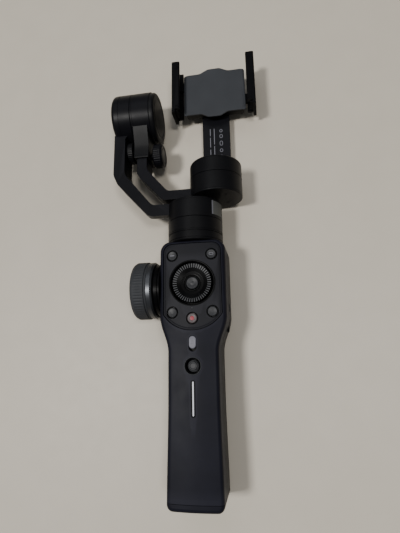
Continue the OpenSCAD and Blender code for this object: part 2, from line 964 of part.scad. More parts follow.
module jaw_pinion() {
    low = slot_low + 0.8;
    color("#c9c9c2") at_clamp() translate([0, 0, low]) linear_extrude(tongue_top - low) difference() {
        union() {
            circle(r = pitch_r - tooth_root);
            for (i = [0 : pinion_teeth - 1]) {
                rotate(i * 360 / pinion_teeth) pinion_tooth();
            }
        }
        circle(r = 1.5 + run_fit);
    }
}

front_shell();
rear_shell();
control_panel();
base_cap();
tripod_insert();
battery_cells();
battery_holder();
main_board();
control_board();
dial_housing();
usb_port();
led_light_pipe();
joystick_housing();
handwheel_boss();
trigger_pins();
casing_screws();
pan_motor_housing();
pan_stator();
pan_bearings();
handwheel_hub();
handwheel_grip();
dial_ring();
dial_button();
button_top_left();
button_top_right();
button_bottom_left();
button_bottom_right();
record_button();
mode_switch_cap();
joystick_yoke();
joystick_stick();
trigger_upper();
trigger_lower();
power_button();
pan_rotor_cover();
pan_rotor();
pan_arm();
label_plate();
roll_stator();
roll_bearings();
roll_housing();
roll_end_cap();
roll_rotor();
clamp_nut_disc();
thumb_screw();
tilt_arm();
tilt_stator();
tilt_bearings();
tilt_rotor_cover();
tilt_rotor();
clamp_bar();
clamp_base();
clamp_plate();
clamp_pivot();
clamp_spring();
jaw_left();
jaw_pad_left();
jaw_right();
jaw_pad_right();
jaw_pinion();
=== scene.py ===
"""Looks of the camera gimbal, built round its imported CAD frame.

Shapes are worked out in millimetres, in the frame's own axes, and put() turns each one into metres.
"""
import json
import math

import bmesh
import bpy
from mathutils import Matrix, Vector


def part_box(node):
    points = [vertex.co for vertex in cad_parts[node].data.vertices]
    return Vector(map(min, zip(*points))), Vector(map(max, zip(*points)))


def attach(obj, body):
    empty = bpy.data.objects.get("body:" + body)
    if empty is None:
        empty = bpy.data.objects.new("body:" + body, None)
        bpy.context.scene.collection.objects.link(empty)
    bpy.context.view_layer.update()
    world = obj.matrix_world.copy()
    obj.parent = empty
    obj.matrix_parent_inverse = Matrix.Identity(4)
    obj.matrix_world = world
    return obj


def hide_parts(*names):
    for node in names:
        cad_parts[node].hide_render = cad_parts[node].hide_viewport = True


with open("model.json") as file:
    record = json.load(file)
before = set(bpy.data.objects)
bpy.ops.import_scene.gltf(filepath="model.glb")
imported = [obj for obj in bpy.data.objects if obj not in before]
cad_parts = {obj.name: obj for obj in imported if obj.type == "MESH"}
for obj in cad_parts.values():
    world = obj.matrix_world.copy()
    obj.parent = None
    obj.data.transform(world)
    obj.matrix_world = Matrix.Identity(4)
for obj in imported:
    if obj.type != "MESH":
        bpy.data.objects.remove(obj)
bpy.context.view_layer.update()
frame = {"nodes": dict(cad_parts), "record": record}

MM = 0.001
X, Z = Vector((1, 0, 0)), Vector((0, 0, 1))


def corners(node):
    """Lowest and highest corner of a CAD node, in millimetres."""
    low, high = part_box(node)
    return low / MM, high / MM


# ---- Sizes shared by several pieces, from the frame where it holds them ----

shell_low, shell_high = corners("front_shell")
panel_low, panel_high = corners("control_panel")
HANDLE_TOP = shell_high.y
CAP_TOP = shell_low.y
BACK_Z = corners("rear_shell")[0].z
FRONT_Z = shell_high.z
HEAD_HALF = shell_high.x
CROWN_R = 120
CROWN_Z = FRONT_Z - CROWN_R
WALL = 2.2
# Half widths of the handle at its base and along its waist, and the heights where its sides change
BASE_HALF, WAIST_HALF = 18.4, 17.4
WAIST_Y, FLARE_Y, HEAD_Y = 67, 97, 121
BASE_R, HEAD_R, FRONT_R = 4, 7, 2.6
PANEL_SINK = 0.35
SEAM = 0.12
BUTTON_R = 3.3
BUTTON_HOLE_R = BUTTON_R + 0.45
DIAL_HOLE_R = 15.3
SHAFT_HOLE_R = 3.6
MOTOR_SIDES = 144
# Half size of the blocks that cut the handle, and a height above all of its front
FAR, ABOVE = 60, 30


def middle(node):
    low, high = corners(node)
    return (low + high) / 2


DIAL = middle("dial_ring")
STICK = middle("joystick_housing")
SWITCH_Y = corners("mode_switch_cap")[1].y - 4.8
LAMP_Y = 126
WHEEL = middle("handwheel_hub")
PAN_SPLIT = corners("pan_rotor_cover")[0].y
ROLL = middle("roll_end_cap")
ROLL_SPLIT = corners("roll_housing")[0]
TILT = middle("tilt_rotor_cover")
TILT_SPLIT = corners("tilt_rotor_cover")[0].y
CLAMP = middle("clamp_pivot")


def crown(x, sink=0.0):
    """Height of the handle's convex front at x, or of a surface that lies sink below it."""
    return CROWN_Z + math.sqrt((CROWN_R - sink) ** 2 - x * x)


# ---- Outlines ----

def arc(cx, cy, r, start, end, steps=8):
    turns = [math.radians(start + (end - start) * k / steps) for k in range(steps + 1)]
    return [(cx + r * math.cos(a), cy + r * math.sin(a)) for a in turns]


def rounded(points, radius=0.0, closed=True, steps=5):
    """The polyline with round corners. A point's third number is its own radius."""
    out = []
    last = len(points) - 1
    for i, point in enumerate(points):
        r = point[2] if len(point) > 2 else radius
        here = Vector(point[:2])
        if r == 0 or (not closed and i in (0, last)):
            out.append(tuple(here))
            continue
        back = Vector(points[i - 1][:2]) - here
        ahead = Vector(points[(i + 1) % (last + 1)][:2]) - here
        half = back.angle(ahead) / 2
        reach = min(r / math.tan(half), 0.49 * back.length, 0.49 * ahead.length)
        r = reach * math.tan(half)
        centre = here + (back.normalized() + ahead.normalized()).normalized() * (r / math.sin(half))
        first = here + back.normalized() * reach - centre
        final = here + ahead.normalized() * reach - centre
        start = math.atan2(first.y, first.x)
        turn = (math.atan2(final.y, final.x) - start + math.pi) % (2 * math.pi) - math.pi
        for k in range(steps + 1):
            a = start + turn * k / steps
            out.append((centre.x + r * math.cos(a), centre.y + r * math.sin(a)))
    return out


def stadium(cx, cy, half_x, half_y, steps=10):
    """Outline of a slot with round ends, along y."""
    straight = half_y - half_x
    upper = arc(cx, cy + straight, half_x, 0, 180, steps)
    return upper + arc(cx, cy - straight, half_x, 180, 360, steps)


def rectangle(low_x, low_y, high_x, high_y, r=0.0):
    return rounded([(low_x, low_y), (high_x, low_y), (high_x, high_y), (low_x, high_y)], r)


# ---- Mesh makers, each giving an object in millimetres ----

def shape(bm):
    """A new object with the mesh, linked to the scene."""
    mesh = bpy.data.meshes.new("shape")
    bm.to_mesh(mesh)
    bm.free()
    obj = bpy.data.objects.new("shape", mesh)
    bpy.context.scene.collection.objects.link(obj)
    return obj


def link(bm):
    """The finished mesh as an object, with its faces all turned outwards."""
    bmesh.ops.remove_doubles(bm, verts=bm.verts, dist=1e-5)
    bmesh.ops.recalc_face_normals(bm, faces=bm.faces)
    return shape(bm)


def bridge(bm, first, second, loop=True):
    """Quads between two rows of vertices; a row of one vertex gives triangles."""
    count = max(len(first), len(second))
    for k in range(count if loop else count - 1):
        n = (k + 1) % count
        near = [first[k % len(first)], first[n % len(first)]]
        far = [second[n % len(second)], second[k % len(second)]]
        ring = list(dict.fromkeys(near + far))
        if len(ring) > 2:
            bm.faces.new(ring)


def lathe(profile, segments=96, ripple=None):
    """Solid of revolution round Z of (radius, height) points: from pole to pole, or a closed ring.
    ripple(angle, radius, height) gives the point's radius and height where they change round the axis."""
    bm = bmesh.new()
    rows = []
    for r, z in profile:
        row = []
        for k in range(segments if r > 0 else 1):
            a = 2 * math.pi * k / segments
            rr, zz = ripple(a, r, z) if ripple else (r, z)
            row.append(bm.verts.new((rr * math.cos(a), rr * math.sin(a), zz)))
        rows.append(row)
    for first, second in zip(rows, rows[1:]):
        bridge(bm, first, second)
    if profile[0][0] > 0:
        bridge(bm, rows[-1], rows[0])
    return link(bm)


def spun(points, segments, ripple=None, steps=5):
    """Solid of revolution from pole to pole, its corners rounded where a point says so."""
    return lathe(rounded(points, closed=False, steps=steps), segments, ripple)


def fluted(r, low, high, count, deep, sign=1, power=2):
    """A ripple for lathe(): grooves along the axis, beyond radius r and between two heights."""
    def ripple(angle, radius, z):
        if radius < r or not low < z < high:
            return radius, z
        return radius - deep * (0.5 + sign * 0.5 * math.cos(count * angle)) ** power, z

    return ripple


def prism(outline, low, high):
    """A solid with one outline from the height low to the height high."""
    bm = bmesh.new()
    rows = [[bm.verts.new((x, y, z)) for x, y in outline] for z in (low, high)]
    bridge(bm, *rows)
    for row in rows:
        bm.faces.new(row)
    return link(bm)


def pillow(rows, low, high, round_low=0.0, round_high=0.0, columns=20, steps=4):
    """A solid over a symmetric outline, between two surfaces, with its rims rounded.
    rows(inset) lists (half width, centre x, y) up the outline; low and high give a height at (x, y)."""
    bm = bmesh.new()

    def grid(inset, height):
        out = []
        for half, cx, y in rows(inset):
            xs = [cx + half * (2 * c / columns - 1) for c in range(columns + 1)]
            out.append([bm.verts.new((x, y, height(x, y))) for x in xs])
        return out

    def rim(g):
        return g[0] + [r[-1] for r in g[1:-1]] + g[-1][::-1] + [r[0] for r in g[-2:0:-1]]

    def cap(g):
        for first, second in zip(g, g[1:]):
            bridge(bm, first, second, loop=False)

    def steps_in(radius):
        turns = [math.pi / 2 * k / steps for k in range(steps + 1 if radius else 1)]
        return [(radius * (1 - math.cos(a)), radius * (1 - math.sin(a))) for a in turns]

    levels = []
    for inset, drop in reversed(steps_in(round_low)):
        levels.append((inset, lambda x, y, d=drop: low(x, y) + d))
    for inset, drop in steps_in(round_high):
        levels.append((inset, lambda x, y, d=drop: high(x, y) - d))
    bottom = grid(*levels[0])
    top = grid(*levels[-1])
    cap(bottom)
    cap(top)
    rims = [rim(bottom)]
    for level in levels[1:-1]:
        g = grid(*level)
        rims.append(rim(g))
        kept = set(rims[-1])
        for v in [v for row in g for v in row if v not in kept]:
            bm.verts.remove(v)
    rims.append(rim(top))
    for first, second in zip(rims, rims[1:]):
        bridge(bm, first, second)
    return link(bm)


def sweep(path, radius, sides=8):
    """A closed round bead along a closed path of 3D points."""
    bm = bmesh.new()
    points = [Vector(p) for p in path]
    rows = []
    for i, p in enumerate(points):
        along = (points[(i + 1) % len(points)] - points[i - 1]).normalized()
        side = along.cross(Z).normalized()
        up = side.cross(along)
        turns = [2 * math.pi * k / sides for k in range(sides)]
        rows.append([bm.verts.new(p + radius * (side * math.cos(a) + up * math.sin(a))) for a in turns])
    for first, second in zip(rows, rows[1:] + rows[:1]):
        bridge(bm, first, second)
    return link(bm)


def sector(inner, outer, start, end, low, high, steps=24):
    """A curved plate: part of a tube round Z, between two angles in degrees."""
    ring = arc(0, 0, outer, start, end, steps) + arc(0, 0, inner, end, start, steps)
    return prism(ring, low, high)


def moved(obj, matrix):
    obj.data.transform(matrix)
    return obj


def at(x, y, z):
    return Matrix.Translation((x, y, z))


def turned(degrees, axis):
    return Matrix.Rotation(math.radians(degrees), 4, axis)


def side_on(x, y, z):
    """The place of a shape whose own Z axis comes to lie along X."""
    return at(x, y, z) @ turned(90, "Y")


def crown_tilt(x):
    """The turn that lays a piece flat on the handle's convex front at x."""
    return Matrix.Rotation(math.asin(x / CROWN_R), 4, "Y")


FACING_Y = turned(-90, "X")
# The axes in turn: X to Y, Y to Z and Z to X; and Y and Z changed over
AXES_YZX = Matrix(((0, 0, 1, 0), (1, 0, 0, 0), (0, 1, 0, 0), (0, 0, 0, 1)))
AXES_XZY = Matrix(((1, 0, 0, 0), (0, 0, 1, 0), (0, 1, 0, 0), (0, 0, 0, 1)))
AT_PAN = at(0, PAN_SPLIT, 0) @ FACING_Y
AT_ROLL = side_on(ROLL_SPLIT.x, ROLL.y, 0)
AT_TILT = at(TILT.x, TILT_SPLIT, 0) @ FACING_Y
AT_WHEEL = side_on(-HEAD_HALF, WHEEL.y, WHEEL.z)


def bake(obj):
    """Makes the object's modifiers part of its mesh."""
    bpy.context.view_layer.update()
    old = obj.data
    mesh = bpy.data.meshes.new_from_object(obj.evaluated_get(bpy.context.evaluated_depsgraph_get()))
    obj.modifiers.clear()
    obj.data = mesh
    bpy.data.meshes.remove(old)
    return obj


def cut(obj, *tools, operation="DIFFERENCE"):
    """Takes the tools away from the object, or joins them to it, and removes them."""
    for tool in tools:
        step = obj.modifiers.new("cut", "BOOLEAN")
        step.object = tool
        step.operation = operation
        step.solver = "EXACT"
    bake(obj)
    for tool in tools:
        bpy.data.objects.remove(tool)
    return obj


def together(*objs):
    """Several closed shapes as one object."""
    bm = bmesh.new()
    for obj in objs:
        bm.from_mesh(obj.data)
        bpy.data.objects.remove(obj)
    return shape(bm)


def put(obj, name, body, slot, *replaced, bevel=0.0, angle=32, segments=2):
    """Finishes a shape: bevel, smooth shading, metres, material, and the body that it rides on."""
    if bevel:
        step = obj.modifiers.new("edges", "BEVEL")
        step.width = bevel
        step.segments = segments
        step.limit_method = "ANGLE"
        step.angle_limit = math.radians(angle)
        bake(obj)
    for face in obj.data.polygons:
        face.use_smooth = True
    obj.data.set_sharp_from_angle(angle=math.radians(42 if bevel else angle))
    step = obj.modifiers.new("normals", "WEIGHTED_NORMAL")
    step.keep_sharp = True
    bake(obj)
    obj.data.transform(Matrix.Scale(MM, 4))
    obj.name = name
    obj.data.name = name
    obj.data.materials.clear()
    obj.data.materials.append(MATERIALS[slot])
    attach(obj, body)
    if replaced:
        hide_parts(*replaced)
    return obj


# ---- Materials: one row for each slot, and one function that builds them all ----

# slot: colour, roughness, metallic, specular level, grain size in mm, grain depth in mm, colour variation
FINISHES = {
    "shell_slate": ((0.0098, 0.0101, 0.016), 0.44, 0, 0.09, 0.35, 0.03, 0.18),
    # shell_black is darker than shell_slate partly as painted shade on the handle's shaded side walls.
    "shell_black": ((0.004, 0.004, 0.0045), 0.42, 0, 0.1, 0.35, 0.03, 0.2),
    "panel_grey": ((0.012, 0.0122, 0.0155), 0.48, 0, 0.12, 0.3, 0.025, 0.16),
    "trim_black": ((0.0025, 0.0025, 0.0028), 0.34, 0, 0.06, 0.25, 0.01, 0.2),
    "arm_paint": ((0.0048, 0.0048, 0.0066), 0.38, 0, 0.12, 0.22, 0.018, 0.25),
    "motor_paint": ((0.0045, 0.0046, 0.0056), 0.4, 0, 0.14, 0.22, 0.016, 0.25),
    "brass": ((0.6, 0.42, 0.16), 0.3, 1, 0.5, 0.3, 0.01, 0.15),
    "winding": ((0.45, 0.2, 0.08), 0.35, 1, 0.5, 0.4, 0.04, 0.25),
    "cell_wrap": ((0.05, 0.2, 0.42), 0.3, 0, 0.5, 0.6, 0.01, 0.1),
    "board": ((0.015, 0.1, 0.05), 0.4, 0, 0.5, 0.5, 0.015, 0.2),
    "steel": ((0.42, 0.43, 0.45), 0.32, 1, 0.5, 0.3, 0.012, 0.15),
    "ring_metal": ((0.08, 0.084, 0.092), 0.36, 0.85, 0.5, 0.2, 0.01, 0.15),
    "wheel_grip": ((0.032, 0.034, 0.038), 0.6, 0, 0.2, 0.3, 0.03, 0.18),
    "cap_grey": ((0.055, 0.057, 0.062), 0.45, 0, 0.35, 0.25, 0.018, 0.15),
    "cap_mid": ((0.026, 0.027, 0.03), 0.45, 0, 0.3, 0.25, 0.018, 0.15),
    "cap_dark": ((0.007, 0.0072, 0.0085), 0.42, 0, 0.14, 0.25, 0.015, 0.18),
    "record_cap": ((0.095, 0.08, 0.082), 0.42, 0, 0.3, 0.25, 0.012, 0.1),
    "switch_grey": ((0.16, 0.16, 0.19), 0.42, 0, 0.3, 0.25, 0.015, 0.1),
    "light_pipe": ((0.72, 0.73, 0.8), 0.35, 0, 0.5, 0.4, 0.008, 0.06),
    "label": ((0.075, 0.078, 0.075), 0.5, 0, 0.2, 0.4, 0.012, 0.15),
    "plate_grey": ((0.034, 0.037, 0.043), 0.62, 0, 0.25, 0.3, 0.025, 0.12),
    "jaw_black": ((0.0028, 0.0028, 0.0034), 0.45, 0, 0.06, 0.3, 0.025, 0.2),
    "pad_rubber": ((0.006, 0.006, 0.0064), 0.8, 0, 0.1, 0.4, 0.04, 0.2),
    "gear_plastic": ((0.55, 0.55, 0.5), 0.45, 0, 0.5, 0.4, 0.015, 0.1),
    "record_red": ((0.3, 0.035, 0.05), 0.4, 0, 0.3, 0.25, 0.01, 0.12),
    "mark_pale": ((0.13, 0.13, 0.15), 0.5, 0, 0.3, 0.3, 0.008, 0.15),
    "floor": ((0.44, 0.4, 0.335), 0.5, 0, 0.5, 1.2, 0.004, 0.05),
}
# Sizes in mm of the clouds in a surface's colour and in its gloss
COLOUR_CLOUD, GLOSS_CLOUD = 24, 9
# Pointiness between which an edge goes from plain to lighter, and how much of the lighter colour it takes:
# a painted highlight along sharp edges, with a little wear
EDGE_PLAIN, EDGE_LIT_AND_WORN, EDGE_HIGHLIGHT_AND_WEAR = 0.53, 0.62, 0.55


def finish_material(name, colour, roughness, metallic, specular, grain, depth, variation):
    """Moulded or painted surface: fine grain in the bump, cloudy gloss, and slightly lighter edges, which
    are a painted highlight with a little wear.
    """
    mat = bpy.data.materials.new(name)
    mat.use_nodes = True
    nodes, links = mat.node_tree.nodes, mat.node_tree.links

    def fill(sockets, values):
        for key, value in values.items():
            if isinstance(value, bpy.types.NodeSocket):
                links.new(value, sockets[key])
            else:
                sockets[key].default_value = value

    def node(kind, values, output):
        """A new node's output, with the node's inputs linked or set to constants."""
        made = nodes.new("ShaderNode" + kind)
        if kind == "Mix":
            made.data_type = "RGBA"
        fill(made.inputs, values)
        return made.outputs[output]

    def noise(size, detail):
        return node("TexNoise", {"Scale": 1 / (size * MM), "Detail": detail, "Vector": place}, "Fac")

    def spread(source, low, high, start=0.3, end=0.7):
        ends = {"From Min": start, "From Max": end, "To Min": low, "To Max": high}
        return node("MapRange", {"Value": source, **ends}, "Result")

    def mix(factor, first, second):
        return node("Mix", {"Factor": factor, 6: first, 7: second}, 2)

    def shade(scale, lift=0.0):
        return tuple(min(1, c * scale + lift) for c in colour) + (1,)

    place = node("TexCoord", {}, "Object")
    cloud = mix(spread(noise(COLOUR_CLOUD, 4), 0, 1), shade(1 - variation), shade(1 + variation))
    # Sharp edges take a lighter colour: a painted highlight along the bevels, with a little wear.
    edge_highlight_and_wear = spread(node("NewGeometry", {}, "Pointiness"), 0, EDGE_HIGHLIGHT_AND_WEAR, EDGE_PLAIN, EDGE_LIT_AND_WORN)
    bump = {"Strength": 0.5, "Distance": depth * MM, "Height": noise(grain, 3)}
    fill(nodes["Principled BSDF"].inputs, {
        "Base Color": mix(edge_highlight_and_wear, cloud, shade(1.7, 0.004)),
        "Roughness": spread(noise(GLOSS_CLOUD, 5), roughness - 0.02, roughness + 0.03),
        "Metallic": metallic,
        "Specular IOR Level": specular,
        "Normal": node("Bump", bump, "Normal"),
    })
    return mat


MATERIALS = {slot: finish_material(slot, *row) for slot, row in FINISHES.items()}


# ---- Handle ----

def handle_half(y):
    """Half the handle's width at y: the base narrows to the waist, which flares to the head."""
    def smooth(t):
        return t * t * (3 - 2 * t)

    if y < WAIST_Y:
        return BASE_HALF + (WAIST_HALF - BASE_HALF) * smooth(y / WAIST_Y)
    if y < FLARE_Y:
        return WAIST_HALF
    if y < HEAD_Y:
        return WAIST_HALF + (HEAD_HALF - WAIST_HALF) * smooth((y - FLARE_Y) / (HEAD_Y - FLARE_Y))
    return HEAD_HALF


def handle_rows(inset):
    """Half widths of the handle up its length, from its rounded base to the head's round corners."""
    side = arc(BASE_HALF - BASE_R, BASE_R, BASE_R - inset, -90, 0, 6)
    side += [(handle_half(y) - inset, y) for y in range(8, WAIST_Y + 1, 8)]
    side += [(handle_half(y) - inset, y) for y in range(FLARE_Y - 15, HEAD_Y + 1, 2)]
    side += [(HEAD_HALF - inset, y) for y in range(131, 164, 8)]
    side += arc(HEAD_HALF - HEAD_R, HANDLE_TOP - HEAD_R, HEAD_R - inset, 0, 90, 10)
    return [(half, 0, y) for half, y in side]


def handle_body(inset):
    """The whole handle as one solid, or the hollow that lies inset below its surface."""
    return pillow(
        lambda i: handle_rows(i + inset),
        lambda x, y: BACK_Z + inset,
        lambda x, y: crown(x, inset),
        round_low=BASE_R - inset, round_high=FRONT_R - inset, columns=28, steps=5,
    )


def handle_half_shell(low_z, high_z):
    box = prism(rectangle(-FAR, CAP_TOP + SEAM, FAR, HANDLE_TOP + FAR), low_z, high_z)
    shell = cut(handle_body(0), handle_body(WALL))
    return cut(shell, box, operation="INTERSECT")


def panel_rows(inset):
    """The control panel's outline: straight sides, round top corners and one wide arc below."""
    half, round_r, arc_r = panel_high.x, 5.5, 24.5
    low_arc = -math.degrees(math.acos((half - inset) / (arc_r - inset)))
    side = arc(0, panel_low.y + arc_r, arc_r - inset, -87, low_arc, 12)
    side += [(half - inset, y) for y in range(130, 163, 8)]
    side += arc(half - round_r, panel_high.y - round_r, round_r - inset, 0, 90, 8)
    return [(x, 0, y) for x, y in side]


def panel_slab(inset, low, high, **rims):
    return pillow(lambda i: panel_rows(i + inset), low, high, **rims)


def drill(x, y, r, low=5, high=ABOVE, segments=48):
    """A round bar along Z, mostly to cut with."""
    return prism(arc(x, y, r, 0, 360 - 360 / segments, segments - 1), low, high)


SCREWS = [(side * x, y) for x, y in ((12.6, 20), (12.6, 83), (19.4, 157)) for side in (-1, 1)]
CORNER_BUTTONS = ["button_" + place for place in ("top_left", "top_right", "bottom_left", "bottom_right")]
TRIGGERS = ["trigger_upper", "trigger_lower"]


def shaft_hole():
    """The focus wheel's hole through the handle's side."""
    return moved(drill(0, 0, SHAFT_HOLE_R, -2, 6), AT_WHEEL)


def front_shell():
    shell = handle_half_shell(SEAM, 40)
    pocket = panel_slab(-0.3, lambda x, y: crown(x, 1.9), lambda x, y: ABOVE)
    window = panel_slab(1.5, lambda x, y: 5, lambda x, y: ABOVE)
    low, high = corners("led_light_pipe")
    led = prism(stadium(0, (low.y + high.y) / 2, 1.5, (high.y - low.y) / 2 + 0.1), 5, ABOVE)
    switch = prism(stadium(0, SWITCH_Y - 0.8, 2.7, 5.3), 5, ABOVE)
    cut(shell, pocket, window, led, switch, drill(0, STICK.y, 5.85), shaft_hole())
    put(shell, "shell_front", "handle", "shell_slate", "front_shell", bevel=0.25)


def rear_shell():
    shell = handle_half_shell(-FAR, -SEAM)
    tools = [shaft_hole()]
    for node in TRIGGERS:
        low, high = corners(node)
        outline = rectangle(low.x - 0.4, low.y - 0.4, high.x + 0.4, high.y + 0.4, 1.5)
        tools.append(prism(outline, BACK_Z - 2, BACK_Z + WALL + 1))
    for x, y in SCREWS:
        tools.append(drill(x, y, 2.1, BACK_Z - 2, BACK_Z + 1.6, 32))
    power = middle("power_button")
    tools.append(moved(drill(0, 0, 3.35, 0, 9), side_on(HEAD_HALF - 5, power.y, power.z)))
    usb = middle("usb_port")
    tools.append(moved(prism(rectangle(-1.8, -4.7, 1.8, 4.7, 1.7), 0, 9), side_on(16, usb.y, usb.z)))
    grooves, first_y, pitch = 9, 22, 7.5
    for k in range(grooves):
        y = first_y + pitch * k
        tools.append(prism(rectangle(-11, y, 11, y + 1.6, 0.75), BACK_Z - 1, BACK_Z + 0.5))
    cut(shell, *tools)
    put(shell, "shell_rear", "handle", "shell_black", "rear_shell", bevel=0.25)


def base_cap():
    block = prism(rectangle(-FAR, -10, FAR, CAP_TOP - SEAM), -FAR, FAR)
    foot = cut(handle_body(0), block, operation="INTERSECT")
    cut(foot, moved(drill(0, 0, 5.05, -5, 30), FACING_Y))
    put(foot, "foot_cap", "handle", "shell_slate", "base_cap", bevel=0.2)


def tripod_insert():
    """Brass insert with the screw thread as one helix inside it."""
    high = corners("tripod_insert")[1]
    pitch, depth, core, step = 1.27, 0.45, 2.65, 0.16
    heights = [0.25 + k * step for k in range(int((high.y - 0.5) / step))]

    def thread(angle, r, z):
        if r > core + 0.1 or r < core - 0.1:
            return r, z
        turn = (z / pitch - angle / (2 * math.pi)) % 1
        return core + depth * abs(2 * turn - 1), z

    profile = [(core + 0.7, 0), (4.6, 0), (high.x, 0.4), (high.x, high.y), (core + 0.7, high.y)]
    profile += [(core, z) for z in reversed(heights)]
    insert = moved(lathe(profile, 72, thread), FACING_Y)
    put(insert, "tripod_thread", "handle", "brass", "tripod_insert")


def control_panel():
    face = panel_slab(
        0.1, lambda x, y: crown(x, 2.0), lambda x, y: crown(x, PANEL_SINK),
        round_high=0.45, columns=28, steps=3,
    )
    dial_hole = drill(0, DIAL.y, DIAL_HOLE_R, segments=96)
    record_hole = drill(0, middle("record_button").y, BUTTON_HOLE_R)
    corner_holes = [drill(*middle(node).xy, BUTTON_HOLE_R) for node in CORNER_BUTTONS]
    cut(face, dial_hole, record_hole, drill(0, LAMP_Y, 0.65), *corner_holes)
    put(face, "panel_face", "handle", "panel_grey", "control_panel", bevel=0.3)
    outline = [(x, y) for x, _, y in panel_rows(1.35)]
    outline += [(-x, y) for x, y in reversed(outline)]
    bead = sweep([(x, y, crown(x, PANEL_SINK + 0.05)) for x, y in outline], 0.42)
    put(bead, "panel_bead", "handle", "panel_grey")


def button_rims():
    """Thin raised collar round each button's hole, and round the dial's well."""
    spots = [(*middle(node).xy, BUTTON_HOLE_R, 0.55) for node in CORNER_BUTTONS + ["record_button"]]
    spots.append((0, DIAL.y, DIAL_HOLE_R, 0.9))
    # The collars' black stands partly for painted shade in the gap round each hole.
    for i, (x, y, r, wide) in enumerate(spots):
        ring = lathe(rounded([
            (r, -1.2), (r + wide, -1.2), (r + wide, 0.02), (r + wide * 0.5, 0.16, 0.2), (r, 0.1, 0.1),
        ]), 64)
        place = at(x, y, crown(x, PANEL_SINK)) @ crown_tilt(x)
        put(moved(ring, place), f"hole_collar_{i + 1}", "handle", "trim_black")


def dial_well():
    low, high = corners("dial_housing")
    floor_z, rim_z = low.z + 2.6, low.z + 6
    well = lathe(rounded([
        (4.6, low.z), (16.2, low.z), (16.2, high.z), (15.25, high.z), (15.25, floor_z), (5.6, floor_z),
        (5.6, rim_z), (4.6, rim_z),
    ], 0.2), 96)
    put(moved(well, at(0, DIAL.y, 0)), "dial_well", "handle", "trim_black", "dial_housing")


def led_strip():
    low, high = corners("led_light_pipe")
    centre, reach = (low.y + high.y) / 2, (high.y - low.y) / 2

    def bar(half, length, sink, columns):
        side = arc(0, centre - length + half, half, -85, 0, 5)
        side += arc(0, centre + length - half, half, 0, 85, 5)
        return pillow(
            lambda inset: [(x * (half - inset) / half, 0, y) for x, y in side],
            lambda x, y: 15, lambda x, y: crown(x, sink), round_high=0.2, columns=columns,
        )

    put(bar(0.5, reach - 0.8, 0.12, 6), "led_lens", "handle", "light_pipe", "led_light_pipe")
    put(bar(1.42, reach, 0.4, 8), "led_surround", "handle", "trim_black", "led_light_pipe")


def joystick_ring():
    low, high = corners("joystick_housing")
    top, r = high.z, 5.75
    well = spun([
        (0, low.z), (r, low.z), (r, top - 0.3, 0.15), (5.4, top - 0.3, 0.15), (4.7, top - 1.3, 0.3),
        (4.9, top - 2.4, 0.3), (4.9, low.z + 0.8), (0, low.z + 0.8),
    ], 72)
    yoke_pins = moved(drill(0, 0, 0.9, -8, 8, 32), side_on(0, 0, middle("joystick_yoke").z))
    place = at(0, STICK.y, 0)
    put(moved(cut(well, yoke_pins), place), "joystick_well", "handle", "cap_dark", "joystick_housing")
    # The rim is pale cap_grey as a painted highlight: a thin light ring round the well.
    rim = rounded([(5.45, top - 0.6), (r, top - 0.6), (r, top - 0.15, 0.15), (5.45, top - 0.15, 0.15)])
    put(moved(lathe(rim, 96), place), "joystick_rim", "handle", "cap_grey")


def screw_head(radius, height, socket):
    """Round screw head with a hexagonal socket, its face at the top."""
    head = spun([(0, 0), (radius, 0), (radius, height, 0.35), (0, height)], 40)
    hexagon = prism(arc(0, 0, socket, 0, 300, 5), height - 0.8, height + 1)
    return cut(head, hexagon)


def casing_screws():
    heads = []
    for x, y in SCREWS:
        screw = together(screw_head(1.9, 0.9, 0.95), drill(0, 0, 1, -26, 0.2, 24))
        heads.append(moved(screw, at(x, y, BACK_Z + 1.8) @ turned(180, "X")))
    put(together(*heads), "casing_screw_set", "handle", "steel", "casing_screws", bevel=0.08)


def lamp():
    dome = lathe([(0, 0), (0.6, 0), (0.55, 0.35), (0.3, 0.55), (0, 0.6)], 24)
    put(moved(dome, at(0, LAMP_Y, crown(0, 0.6))), "status_lamp", "handle", "cap_grey")


def usb_trim():
    usb = middle("usb_port")
    outer = rectangle(-2.1, -5.0, 2.1, 5.0, 2.0)
    inner = rectangle(-1.5, -4.4, 1.5, 4.4, 1.4)
    ring = cut(prism(outer, -0.9, 0.12), prism(inner, -2, 1))
    place = side_on(handle_half(usb.y) - 0.1, usb.y, usb.z)
    put(moved(ring, place), "charging_port_trim", "handle", "trim_black", bevel=0.1)


# ---- Motors, lathed round their own Z with the split at zero ----

MOTOR_WALL = 2.0
# Half the gap between a motor's two halves
MOTOR_SPLIT = 0.15


def grooved(r, *grooves):
    """Fine grooves round a motor at radius r, as (height, width, depth) from the lowest up."""
    points = []
    for z, wide, deep in grooves:
        points += [(r, z - wide / 2, 0.12), (r - deep, z - wide / 3)]
        points += [(r - deep, z + wide / 3), (r, z + wide / 2, 0.12)]
    return points


def motor_cup(r, depth, edge, *grooves):
    """A motor's fixed half: a cup with a central bearing tube, and fine grooves round it."""
    neck, tube_in, tube_low, floor_z = 6.4, 4.0, -12.3, -depth + MOTOR_WALL
    return spun([
        (0, -depth), (r, -depth, edge), *grooved(r, *grooves), (r, -MOTOR_SPLIT, 0.25),
        (r - MOTOR_WALL, -MOTOR_SPLIT, 0.1), (r - MOTOR_WALL, floor_z), (neck, floor_z),
        (neck, -1), (tube_in, -1), (tube_in, tube_low), (0, tube_low),
    ], MOTOR_SIDES)


def motor_cover(r, height, edge, *grooves):
    """A motor's turning half: a cap over the bell."""
    inner = r - MOTOR_WALL
    return spun([
        (0, height - MOTOR_WALL), (inner, height - MOTOR_WALL, 1.2), (inner, MOTOR_SPLIT, 0.1),
        (r, MOTOR_SPLIT, 0.25), *grooved(r, *grooves), (r, height, edge), (0, height),
    ], MOTOR_SIDES)


